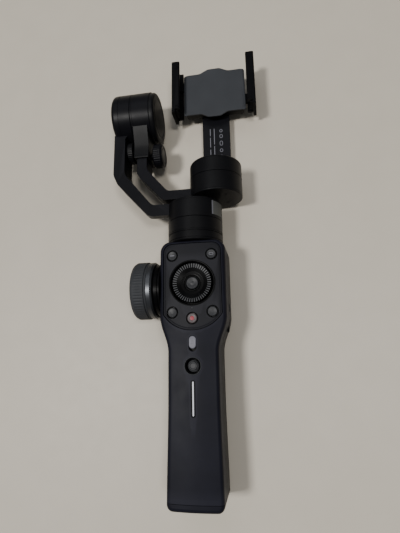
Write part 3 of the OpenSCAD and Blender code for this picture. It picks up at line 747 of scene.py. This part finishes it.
def pan_motor():
    low, high = corners("pan_motor_housing")
    r, depth = high.x, high.y - low.y + MOTOR_SPLIT
    cup = motor_cup(r, depth, 0.5, (-15.9, 0.7, 0.4), (-10.9, 0.9, 0.5), (-9.5, 0.4, 0.25))
    put(moved(cup, AT_PAN), "pan_motor_body", "handle", "motor_paint", "pan_motor_housing")
    inner, lip = r - MOTOR_WALL, r + 0.35
    profile = rounded([(inner, 0), (lip, 0), (lip, 0.5, 0.15), (r, 0.8, 0.1), (inner, 0.8)])
    foot = moved(lathe(profile, MOTOR_SIDES), at(0, HANDLE_TOP, 0) @ FACING_Y)
    put(foot, "pan_motor_foot", "handle", "trim_black")


def pan_head():
    high = corners("pan_rotor_cover")[1]
    r = high.x
    cover = motor_cover(r, high.y - PAN_SPLIT + MOTOR_SPLIT, 0.9, (13.2, 0.4, 0.2))
    put(moved(cover, AT_PAN), "pan_motor_cover", "pan_head", "motor_paint", "pan_rotor_cover")
    label_low, label_high = (corner.y - PAN_SPLIT for corner in corners("label_plate"))
    plate = sector(r - 0.3, r + 0.28, -41, -8, label_low, label_high)
    put(moved(plate, AT_PAN), "label_plate_blank", "pan_head", "label", "label_plate", bevel=0.15)
    edge = sector(r - 0.3, r + 0.29, -43.5, -41.3, label_low, label_high, steps=3)
    put(moved(edge, AT_PAN), "label_plate_edge", "pan_head", "mark_pale", "label_plate", bevel=0.1)


def beam(outline, half, name, body, node, *cutters, bevel=1.8):
    """A bent flat arm: its outline pulled along Z with soft edges."""
    arm = cut(prism(outline, -half, half), *cutters)
    put(arm, name, body, "arm_paint", node, bevel=bevel, segments=3)


def pan_arm():
    left = corners("pan_arm")[0].x
    cover = corners("pan_rotor_cover")[1]
    half, top, r = 9.0, cover.y, cover.x
    bottom, end_y, inner_x = top - half, ROLL.y - 17.4, -55.1
    outline = rounded([
        (-14, bottom), (-34.5, bottom, 9), (-60.6, bottom + 29, 9), (left, bottom + 37, 9), (left, end_y),
        (-52, end_y), (inner_x, ROLL.y - 21, 3), (inner_x, bottom + 37.5, 10), (-32, top, 7), (-14, top),
    ], steps=9)
    heel = moved(prism(rectangle(-100, -FAR, 100, 0), -FAR, FAR), at(0, bottom, 3) @ turned(37, "X"))
    drum = moved(drill(0, 0, r - 0.6, -4, 30, 96), AT_PAN)
    well = moved(drill(0, 0, r - 3, -13, 20, 96), AT_ROLL)
    beam(outline, half, "pan_arm_beam", "pan_head", "pan_arm", drum, well, heel)
    depth = ROLL_SPLIT.x - left
    cup = motor_cup(r, depth, 3.2, (-9.5, 0.5, 0.25))
    put(moved(cup, AT_ROLL), "roll_motor_cup", "pan_head", "arm_paint", "pan_arm")
    disc = spun([(0, 0), (12.2, 0), (12.2, 0.35, 0.3), (11.4, 0.35), (11.2, 0.1), (0, 0.1)], 96)
    place = AT_ROLL @ at(0, 0, -depth + 0.34) @ turned(180, "Y")
    put(moved(disc, place), "roll_motor_disc", "pan_head", "motor_paint")


# ---- Roll head ----

def roll_head():
    """The roll motor's cover and cap, with the sleeve that the tilt arm slides in."""
    mouth = corners("roll_housing")[0].y
    r, height = 20.6, 15.6
    cover = moved(motor_cover(r, height, 0.5, (1.6, 0.35, 0.18)), AT_ROLL)
    put(cover, "roll_motor_cover", "roll_head", "arm_paint", "roll_housing")
    low, high = corners("roll_end_cap")
    tall = high.x - low.x
    cap = spun([
        (0, 0), (r - 0.7, 0), (r - 0.7, tall, 2.0), (r - 5.0, tall, 0.2), (r - 5.3, tall - 0.35, 0.1),
        (r - 5.7, tall - 0.35, 0.1), (r - 6.0, tall, 0.2), (0, tall),
    ], MOTOR_SIDES)
    place = side_on(low.x, ROLL.y, 0)
    put(moved(cap, place), "roll_motor_cap", "roll_head", "motor_paint", "roll_end_cap")
    left, right, half = -46.9, -35.2, 10.0
    thin = half - 0.4

    def channel():
        return prism(rectangle(-45.3, mouth - 1, -36.7, 265.6), -8.3, 8.3)

    sleeve = prism(rectangle(left, mouth + 2.2, right, ROLL.y - 14), -thin, thin)
    shoulder = [(-8, 14.8), (-14, 14.8), (-28, thin)]
    fairing = prism(shoulder + [(y, -z) for y, z in reversed(shoulder)], left, right)
    cut(sleeve, moved(fairing, at(0, ROLL.y, 0) @ AXES_YZX), operation="UNION")
    screw_bore = moved(drill(0, 0, 2.3, -1, 4, 32), side_on(-38, middle("thumb_screw").y, 0))
    cut(sleeve, channel(), moved(drill(0, 0, r - 1.2, 1, 16, 96), AT_ROLL), screw_bore)
    put(sleeve, "arm_sleeve", "roll_head", "motor_paint", "roll_housing", bevel=1.2, segments=3)
    collar = cut(prism(rectangle(left, mouth, right, mouth + 2.0), -half, half), channel())
    put(collar, "sleeve_collar", "roll_head", "motor_paint", "roll_housing", bevel=0.45)


def nut_disc():
    """The disc on the arm's far side, with a fine knurl round it."""
    low, high = corners("clamp_nut_disc")
    wide, r, tall = 5.0, (high.y - low.y) / 2, high.x - low.x
    disc = spun([
        (0, 0.5), (r - 3, 0.5), (r - 2.6, 0, 0.2), (r - 0.9, 0, 0.2), (r, 1.0, 0.2), (r, 1.2), (r, 2.2),
        (r, 3.2), (r, wide - 0.6), (r, wide, 0.3), (4, wide, 0.3), (4, tall), (0, tall),
    ], 288, fluted(r - 0.2, 1.1, wide - 0.5, 36, 0.15, -1, 1), steps=3)
    place = side_on(low.x, (low.y + high.y) / 2, 0)
    put(moved(disc, place), "sleeve_nut", "roll_head", "motor_paint", "clamp_nut_disc")


def thumb_screw():
    """The knob, and under it the washer and the stem, measured from the knob's base."""
    low, high = corners("thumb_screw")
    r, base = (high.y - low.y) / 2, -32.4
    tall, stem = high.x - base, low.x - base
    side = [(r, 1.0 + k * (tall - 2.8) / 6) for k in range(7)]
    knob = spun([
        (0, 0), (r - 1.2, 0), (r, 0.8, 0.4), *side, (r, tall - 1.5, 0.2), (r - 1.3, tall, 0.5),
        (r - 2.6, tall, 0.2), (r - 3.0, tall - 0.45, 0.15), (r - 3.5, tall - 0.45, 0.15),
        (r - 3.9, tall - 0.1, 0.2), (0, tall - 0.35),
    ], 336, fluted(r - 0.8, 0.9, tall - 1.6, 32, 0.25), steps=4)
    place = side_on(base, (low.y + high.y) / 2, 0)
    put(moved(knob, place), "thumb_knob", "thumb_screw", "arm_paint", "thumb_screw")
    neck = spun([(0, stem), (2, stem), (2, -1.3), (5, -1.3, 0.3), (5, 0.2), (0, 0.2)], 64)
    put(moved(neck, place), "thumb_neck", "thumb_screw", "motor_paint", "thumb_screw")


# ---- Tilt arm and tilt head ----

def tilt_arm():
    low, high = corners("tilt_arm")
    base, r = low.y, corners("tilt_rotor_cover")[1].x - TILT.x
    outline = rounded([
        (-45, high.y), (-45, 234.2, 10), (-24.8, base + 0.8, 6), (-22, base, 4), (8, base),
        (8, base + 7.4), (-19, base + 7.4, 8), (-21.3, base + 8.6, 6), (-37, 238, 8), (-37, high.y),
    ], steps=8)
    drum = moved(drill(0, 0, r - 2.7, -30, 30, 96), AT_TILT)
    beam(outline, 8.0, "tilt_arm_beam", "tilt_arm", "tilt_arm", drum, bevel=1.6)
    depth = TILT_SPLIT - base - MOTOR_SPLIT
    cup = motor_cup(r, depth, 2.6, (-13.6, 0.4, 0.2))
    put(moved(cup, AT_TILT), "tilt_motor_cup", "tilt_arm", "motor_paint", "tilt_arm")
    spots = arc(0, 0, 11.5, 45, 315, 3)
    heads = together(*[moved(screw_head(1.5, 0.9, 0.75), at(x, y, 0)) for x, y in spots])
    moved(heads, AT_TILT @ at(0, 0, -depth + 0.75) @ turned(180, "X"))
    put(heads, "tilt_motor_screws", "tilt_arm", "cap_dark", bevel=0.08)


def tilt_head():
    low, high = corners("tilt_rotor_cover")
    cover = moved(motor_cover(high.x - TILT.x, high.y - low.y + MOTOR_SPLIT, 2.2), AT_TILT)
    put(cover, "tilt_motor_cover", "tilt_head", "motor_paint", "tilt_rotor_cover")
    low, high = corners("clamp_bar")
    half = high.x - TILT.x
    outline = [(TILT.x - half, low.y), (TILT.x + half, low.y)]
    outline += arc(TILT.x, CLAMP.y, half, 0, 180, 24)
    bar = cut(prism(outline, low.z, high.z), drill(CLAMP.x, CLAMP.y, 3.05, -30, 0))
    put(bar, "clamp_bar_plate", "tilt_head", "arm_paint", "clamp_bar", bevel=0.5)
    foot = prism(rectangle(TILT.x - half - 1, low.y - 1.5, TILT.x + half + 1, low.y + 2.5, 1), -16.4, -11)
    put(foot, "clamp_bar_foot", "tilt_head", "motor_paint", bevel=0.5)
    plain_marks(low.y, high.z)


def plain_marks(start, top):
    """Blank pale strokes where the real bar is printed; they say nothing."""
    strokes, wide, thick = [], 0.28, 0.1
    lines = ((-5.0, 13, 22), (-5.0, 24, 33), (-5.0, 34.5, 41), (-1.7, 12, 25), (-1.7, 26.5, 41))
    for x, low, high in lines:
        strokes.append(prism(rectangle(x - wide, low, x + wide, high), 0, thick))
    for y, half in ((15, 1.6), (20.5, 1.6), (27, 2.2), (33.5, 1.8), (38.5, 1.4)):
        hole = prism(stadium(4, y, 0.8, half - 0.5, 6), -1, 1)
        strokes.append(cut(prism(stadium(4, y, 1.3, half, 6), 0, thick), hole))
    marks = moved(together(*strokes), at(TILT.x, start, top - 0.05))
    put(marks, "bar_plain_marks", "tilt_head", "mark_pale")


# ---- Phone clamp, round its pivot ----

def clamp_base():
    low, high = corners("clamp_base")
    block = prism(rectangle(low.x, low.y, high.x, high.y, 2), low.z, high.z)
    slot = prism(rectangle(low.x - 1, CLAMP.y - 13.5, high.x + 1, CLAMP.y + 13.5), -10, -6.9)
    cut(block, slot, drill(CLAMP.x, CLAMP.y, 1.5, -30, 5))
    put(block, "clamp_block", "clamp", "shell_black", "clamp_base", bevel=0.4)


def clamp_plate():
    """Matte plate whose two long sides fall away towards the jaws."""
    low, high = corners("clamp_plate")
    cx, half = CLAMP.x, (high.x - low.x) / 2
    side_low, side_high = CLAMP.y - 21, CLAMP.y + 17.4
    right = [
        (5, low.y, 5), (11, side_low, 5), (half, side_low, 1.4), (half, side_high, 1.4),
        (12, side_high, 8), (5, high.y, 6),
    ]
    outline = [(cx + x, y, r) for x, y, r in right] + [(cx - x, y, r) for x, y, r in reversed(right)]
    plate = prism(rounded(outline, steps=6), low.z, high.z)
    for side in (-1, 1):
        wedge = moved(prism(rectangle(0, -FAR, 12, FAR), 0, 6), turned(15, "Y"))
        if side < 0:
            wedge.data.transform(Matrix.Scale(-1, 4, X))
            wedge.data.flip_normals()
        cut(plate, moved(wedge, at(cx + side * (half - 3.4), CLAMP.y, high.z)))
    put(plate, "clamp_top_plate", "clamp", "plate_grey", "clamp_plate", bevel=0.25)


def clamp_pivot():
    low, high = corners("clamp_pivot")
    tall = high.z - low.z
    bolt = spun([(0, 0), (5, 0, 0.4), (5, 1.3), (3, 1.3), (3, 5.5), (1.5, 5.5), (1.5, tall), (0, tall)], 64)
    cut(bolt, prism(arc(0, 0, 2.2, 0, 300, 5), -1, 0.7))
    place = at(CLAMP.x, CLAMP.y, low.z)
    put(moved(bolt, place), "clamp_pivot_bolt", "clamp", "steel", "clamp_pivot", bevel=0.1)


def rack(side, body):
    """The tongue that slides in the clamp's block, with its rack on the pinion's side."""
    pitch_r, teeth, half, lean = 4.0, 10, 0.44, 0.25
    step = 2 * math.pi * pitch_r / teeth
    root, tip = pitch_r + 0.95, pitch_r - 0.7
    edge = [(-33.2, 13.0), (-33.2, root)]
    for k in range(-1, 5):
        x = k * step
        edge += [(x - half - lean, root), (x - half + lean, tip)]
        edge += [(x + half - lean, tip), (x + half + lean, root)]
    edge += [(20, root), (20, 13.0)]
    place = at(CLAMP.x, CLAMP.y, 0) @ turned(180 if side > 0 else 0, "Z")
    tongue = moved(prism(edge, -9.6, -7.3), place)
    put(tongue, f"{body}_rack", body, "jaw_black", bevel=0.06)


def jaw(side, body):
    """One jaw: a thin outer wall, longer than the lips that hold the phone."""
    low, high = corners(body)
    face, reach = CLAMP.x + side * 34.2, 2.5
    points = [
        (0, -11.7), (7, -11.7), (7, -9.7), (reach, -9.7, 0.6), (reach, 4, 0.8), (6.7, 4), (6.7, 5.4, 0.5),
        (6.0, 6, 0.4), (0.8, 6, 0.8), (0, 5.2, 0.8),
    ]
    profile = rounded([(face - side * x, *rest) for x, *rest in points], steps=4)
    wall = moved(prism(profile, low.y, high.y), AXES_XZY)
    wall.data.flip_normals()
    corner_low = rectangle(face - side * reach, low.y - 5, face - side * FAR, low.y + 3.2)
    cut(wall, prism(corner_low, -20, 20))
    put(wall, f"{body}_wall", body, "jaw_black", body, bevel=0.3)
    x, ends = face - side * 4.6, (low.y + 5.2, high.y - 5.2)
    screws = [moved(screw_head(1.5, 0.9, 0.75), at(x, y, 5.35)) for y in ends]
    put(together(*screws), f"{body}_screws", body, "trim_black", bevel=0.06)


def jaw_pad(side, body):
    """The rubber on one jaw, with grooves across its face."""
    node = body.replace("jaw", "jaw_pad")
    low, high = corners(node)
    inner, outer = (high.x, low.x) if side < 0 else (low.x, high.x)
    ribs, deep = 11, inner + side * 0.45
    step = (high.y - low.y) / ribs
    edge = [(outer, low.y), (inner, low.y + 0.4)]
    for k in range(ribs):
        y = low.y + (k + 0.5) * step
        edge += [(inner, y - 0.3 * step), (deep, y - 0.12 * step)]
        edge += [(deep, y + 0.12 * step), (inner, y + 0.3 * step)]
    edge += [(inner, high.y - 0.4), (outer, high.y)]
    put(prism(edge, low.z, high.z), f"{body}_pad", body, "pad_rubber", node, bevel=0.12)


# ---- Focus wheel and controls ----

def focus_wheel():
    """The boss on the handle, and the wheel's ring and grip, each from the end far from the handle."""
    def measured(node):
        low, high = corners(node)
        return (high.y - low.y) / 2, high.x - low.x, side_on(low.x, WHEEL.y, WHEEL.z)

    r, wide, place = measured("handwheel_boss")
    boss = lathe(rounded([
        (3.1, 0), (r - 0.8, 0, 0.3), (r, 0.8, 0.3), (r, wide - 1.6, 0.3), (r - 0.5, wide - 1.2, 0.2),
        (r - 0.5, wide), (3.1, wide),
    ]), 128)
    put(moved(boss, place), "wheel_boss", "handle", "trim_black", "handwheel_boss")
    wide = corners("handwheel_boss")[0].x - corners("handwheel_hub")[0].x - 0.3
    r, tall, place = measured("handwheel_hub")
    ring = spun([
        (0, 0), (r - 0.6, 0), (r, 0.5, 0.3), (r, wide - 1.2, 0.4), (r - 1.0, wide, 0.4),
        (3, wide), (3, tall, 0.3), (0, tall),
    ], 160)
    put(moved(ring, place), "wheel_ring", "handwheel", "ring_metal", "handwheel_hub")
    r, wide, place = measured("handwheel_grip")
    side = [(r, 3.3 + k * (wide - 5) / 6) for k in range(7)]
    grip = spun([
        (0, 1.5), (r - 6.5, 1.5, 0.3), (r - 5.2, 0.2, 0.5), (r - 3.6, 0, 0.8), (r - 1.1, 0.9, 1.5),
        (r, 2.9, 0.8), *side, (r, wide - 1.5, 0.15), (r - 0.7, wide - 1.1, 0.15), (r - 0.7, wide - 0.5),
        (r - 0.9, wide), (0, wide),
    ], 480, fluted(r - 0.4, 3.4, wide - 1.7, 60, 0.3), steps=4)
    put(moved(grip, place), "wheel_grip_ribbed", "handwheel", "wheel_grip", "handwheel_grip")


def dial():
    """Menu dial: fine raised ticks all round its edge, and a bowl that falls to the centre."""
    low, high = corners("dial_ring")
    r, top, ticks = (high.x - low.x) / 2, high.z, 48
    place = at(0, DIAL.y, 0)
    ring = lathe(rounded([
        (5.66, low.z), (r, low.z), (r, top - 0.5, 0.25), (r - 0.3, top - 0.2, 0.15),
        (r - 3.2, top - 1.0, 0.5), (8.0, top - 1.9, 1.5), (6.4, top - 2.0, 0.4), (5.66, top - 2.15, 0.2),
    ], steps=4), 192)
    put(moved(ring, place), "dial_wheel", "dial", "trim_black", "dial_ring")
    # The ticks are pale cap_grey on the black dial: a painted highlight on lit ridges.
    slope = at(r, 0, top - 0.1) @ turned(-13.6, "Y")
    bars = []
    for k in range(ticks):
        bar = prism([(-3.0, -0.2), (-0.3, -0.3), (-0.3, 0.3), (-3.0, 0.2)], -0.7, 0)
        bars.append(moved(bar, place @ turned(360 * k / ticks, "Z") @ slope))
    put(together(*bars), "dial_ticks", "dial", "cap_grey", "dial_ring")
    low, high = corners("dial_button")
    r, top = (high.x - low.x) / 2, high.z
    cap = spun([
        (0, low.z), (1.2, low.z), (1.2, 15), (r, 15), (r, top - 0.3, 0.3), (r - 0.6, top, 0.3),
        (1.6, top - 0.5, 1.5), (0.7, top - 0.4, 0.2), (0, top - 0.25),
    ], 96, steps=4)
    put(moved(cap, place), "dial_centre", "dial_button", "cap_mid", "dial_button")


def button_cap(node, name, slot, dish=0.3):
    """A round cap on the body named like its node, flat on the panel's curve. Gives its face's place."""
    low, high = corners(node)
    centre, top, r = (low + high) / 2, high.z, BUTTON_R
    cap = spun([
        (0, low.z - top), (1.2, low.z - top), (1.2, 14 - top), (4, 14 - top), (4, 15 - top), (r, 15 - top),
        (r, -0.3, 0.35), (r - 0.5, 0, 0.25), (r - 1.0, -0.1, 0.4), (0.9, -dish, 1.2), (0, -dish),
    ], 72, steps=4)
    face = at(centre.x, centre.y, top) @ crown_tilt(centre.x)
    put(moved(cap, face), name, node, slot, node)
    return face


def buttons():
    """The corner buttons, two of them with a plain mark, and the record button with its dot."""
    low, high = -0.4, -0.12
    bar = prism(rectangle(-1.7, -0.3, 1.7, 0.3, 0.28), low, high)
    ring = cut(prism(stadium(0, 0, 0.85, 1.6), low, high), prism(stadium(0, 0, 0.5, 1.25), -1, 1))
    marks = {"button_top_left": bar, "button_top_right": moved(ring, turned(90, "Z"))}
    for node in CORNER_BUTTONS:
        face = button_cap(node, node + "_cap", "cap_mid")
        if node in marks:
            put(moved(marks[node], face), node + "_mark", node, "mark_pale")
    face = button_cap("record_button", "record_cap_ring", "record_cap", dish=0.35)
    dot = spun([(0, -0.6), (1.45, -0.6), (1.45, -0.16, 0.15), (0.8, -0.1, 0.6), (0, -0.08)], 48)
    put(moved(dot, face), "record_dot", "record_button", "record_red")


def mode_switch():
    """The switch's domed slider with three grooves, on its plate and stem, round its own middle."""
    low, high = corners("mode_switch_cap")
    half, reach = 2.4, 4.2
    place = at(0, SWITCH_Y, 0)

    def rows(inset):
        side = arc(0, half - reach, half, -85, 0, 6) + arc(0, reach - half, half, 0, 85, 6)
        return [(x * (half - inset) / half, 0, y * (reach - inset) / reach) for x, y in side]

    def dome(x, y):
        return high.z - 0.25 * (y / reach) ** 2

    cap = pillow(rows, lambda x, y: 15.6, dome, round_high=0.45, columns=10)
    for y in (-0.8, 0, 0.8):
        cut(cap, prism(rectangle(-1.3, y - 0.14, 1.3, y + 0.14), high.z - 0.25, ABOVE))
    moved(cap, place)
    put(cap, "mode_switch_slider", "mode_switch", "switch_grey", "mode_switch_cap", bevel=0.05)
    plate = prism(rectangle(-3.4, -6.6, 3.4, 4.8, 1), 14.6, 16.1)
    plate = moved(together(plate, prism(rectangle(-0.7, -0.7, 0.7, 0.7), low.z, 15)), place)
    put(plate, "mode_switch_plate", "mode_switch", "trim_black", "mode_switch_cap", bevel=0.1)


def joystick():
    """The stick's knob, skirt and cross pin, with heights measured from its pivot."""
    pivot = at(0, STICK.y, middle("joystick_yoke").z)
    low, top = (corner.z - middle("joystick_yoke").z for corner in corners("joystick_stick"))
    knob = spun([
        (0, 3), (2.2, 3), (2.2, top - 1.5, 0.3), (3.0, top - 1.1, 0.3), (3.0, top - 0.4, 0.3),
        (2.5, top, 0.2), (2.1, top - 0.05, 0.2), (1.7, top - 0.3, 0.4), (0, top - 0.35),
    ], 72, steps=4)
    skirt = spun([
        (0, low), (1, low), (1, 2.8, 0.3), (3.7, 2.7, 0.2), (3.9, 3.2, 0.2),
        (3.3, 4.0, 0.8), (2.2, 4.3, 0.3), (0, 4.3),
    ], 72, steps=4)
    pin = moved(drill(0, 0, 0.5, -2.7, 2.7, 20), FACING_Y)
    # The skirt takes the paler cap_grey as painted light, lifting it against the shade inside the well.
    pieces = (knob, "knob", "cap_mid"), (skirt, "skirt", "cap_grey"), (pin, "pin", "cap_dark")
    for obj, name, slot in pieces:
        put(moved(obj, pivot), "joystick_" + name, "joystick_stick", slot, "joystick_stick")


def trigger(node):
    """One trigger on the back: a finger plate that is hollow along its length, with fine cross ribs."""
    low, high = corners(node)
    half, long, ribs, corner_r, rows_up = high.x, high.y - low.y, 9, 1.5, 64

    def rows(inset):
        out = []
        for k in range(rows_up + 1):
            y = low.y + inset + (long - 2 * inset) * k / rows_up
            edge = min(y - low.y - inset, high.y - inset - y)
            corner = max(0.0, corner_r - edge)
            trim = corner_r - math.sqrt(max(0.0, corner_r ** 2 - corner ** 2))
            out.append((half - inset - trim, 0, y))
        return out

    def back(x, y):
        along = (y - low.y) / long
        bowl = 0.75 * math.sin(math.pi * min(1, max(0, along))) * (1 - (x / 9) ** 2)
        inside = 0.12 < along < 0.72 and abs(x) < 5.5
        rib = 0.22 * math.cos(2 * math.pi * ribs * along) if inside else 0
        return low.z + 0.25 + bowl + rib

    plate = pillow(rows, back, lambda x, y: low.z + 2, round_low=0.5, columns=24, steps=3)
    hub = prism(rectangle(-half, high.y - 3.8, half, high.y - 0.2), low.z + 1.6, high.z)
    pin = moved(drill(0, 0, 0.95, -30, 30, 24), side_on(0, high.y - 2.1, -17))
    put(together(plate, cut(hub, pin)), node + "_plate", node, "shell_black", node)


def power_button():
    low, high = corners("power_button")
    tall = high.x - low.x
    cap = spun([
        (0, 0), (3.8, 0), (3.8, 2), (3, 2), (3, tall - 0.3, 0.3), (2.5, tall, 0.2),
        (2.1, tall - 0.15, 0.15), (1.9, tall - 0.3, 0.1), (1.6, tall - 0.15, 0.15), (0, tall - 0.2),
    ], 64, steps=4)
    place = side_on(low.x, (low.y + high.y) / 2, (low.z + high.z) / 2)
    put(moved(cap, place), "power_button_cap", "power_button", "cap_mid", "power_button")


def dress_cad_nodes():
    """Every CAD node that stays shown takes the material of its slot in the record."""
    slots = {part["node"]: part["material_slot"] for part in frame["record"]["subparts"]}
    slots["joystick_yoke"] = "cap_dark"
    slots["usb_port"] = "cap_dark"
    for node, obj in frame["nodes"].items():
        obj.data.materials.clear()
        obj.data.materials.append(MATERIALS[slots[node]])


# ---- Floor, light and camera ----

# In metres, watts and degrees. Each light: name, place, size, power, colour
LIGHTS = [
    ("key_light", (-0.80, -0.02, 2.0), 0.34, 29, (1.0, 0.985, 0.955)),
    ("side_light", (0.62, 0.05, 2.0), 0.40, 13, (1.0, 0.985, 0.96)),
    ("back_light", (-0.30, 1.60, 1.7), 1.20, 5, (0.96, 0.98, 1.0)),
]
LIGHTS_AIM = Vector((0, 0.17, 0))
WORLD_COLOUR, WORLD_STRENGTH = (0.80, 0.82, 0.85, 1), 0.17
CAMERA_PLACE, CAMERA_TURN, LENS = (0.0493, 0.0944, 0.2760), (12.804, 9.772, -1.040), 26
FLOOR_HALF = 3000


def placed(name, data, place, turn):
    obj = bpy.data.objects.new(name, data)
    obj.location = place
    obj.rotation_euler = turn
    bpy.context.scene.collection.objects.link(obj)
    return obj


def studio():
    floor = prism(rectangle(-FLOOR_HALF, -FLOOR_HALF, FLOOR_HALF, FLOOR_HALF), BACK_Z - 10, BACK_Z)
    moved(floor, Matrix.Scale(MM, 4))
    floor.name = "floor"
    floor.data.materials.append(MATERIALS["floor"])
    for name, place, size, power, colour in LIGHTS:
        data = bpy.data.lights.new(name, "AREA")
        data.size = size
        data.energy = power
        data.color = colour
        placed(name, data, place, (LIGHTS_AIM - Vector(place)).to_track_quat("-Z", "Y").to_euler())
    world = bpy.data.worlds.new("studio")
    world.use_nodes = True
    background = world.node_tree.nodes["Background"].inputs
    background["Color"].default_value = WORLD_COLOUR
    background["Strength"].default_value = WORLD_STRENGTH
    bpy.context.scene.world = world


def camera():
    data = bpy.data.cameras.new("camera")
    data.lens = LENS
    data.sensor_width = 36
    turn = [math.radians(a) for a in CAMERA_TURN]
    bpy.context.scene.camera = placed("camera", data, CAMERA_PLACE, turn)


dress_cad_nodes()
for build in (
    front_shell, rear_shell, base_cap, tripod_insert, control_panel, button_rims, dial_well, led_strip,
    joystick_ring, casing_screws, lamp, usb_trim, pan_motor, pan_head, pan_arm, roll_head, nut_disc,
    thumb_screw, tilt_arm, tilt_head, clamp_base, clamp_plate, clamp_pivot,
):
    build()
for side, body in ((-1, "jaw_left"), (1, "jaw_right")):
    for build in (jaw, rack, jaw_pad):
        build(side, body)
for node in TRIGGERS:
    trigger(node)
for build in (focus_wheel, dial, buttons, mode_switch, joystick, power_button, studio, camera):
    build()
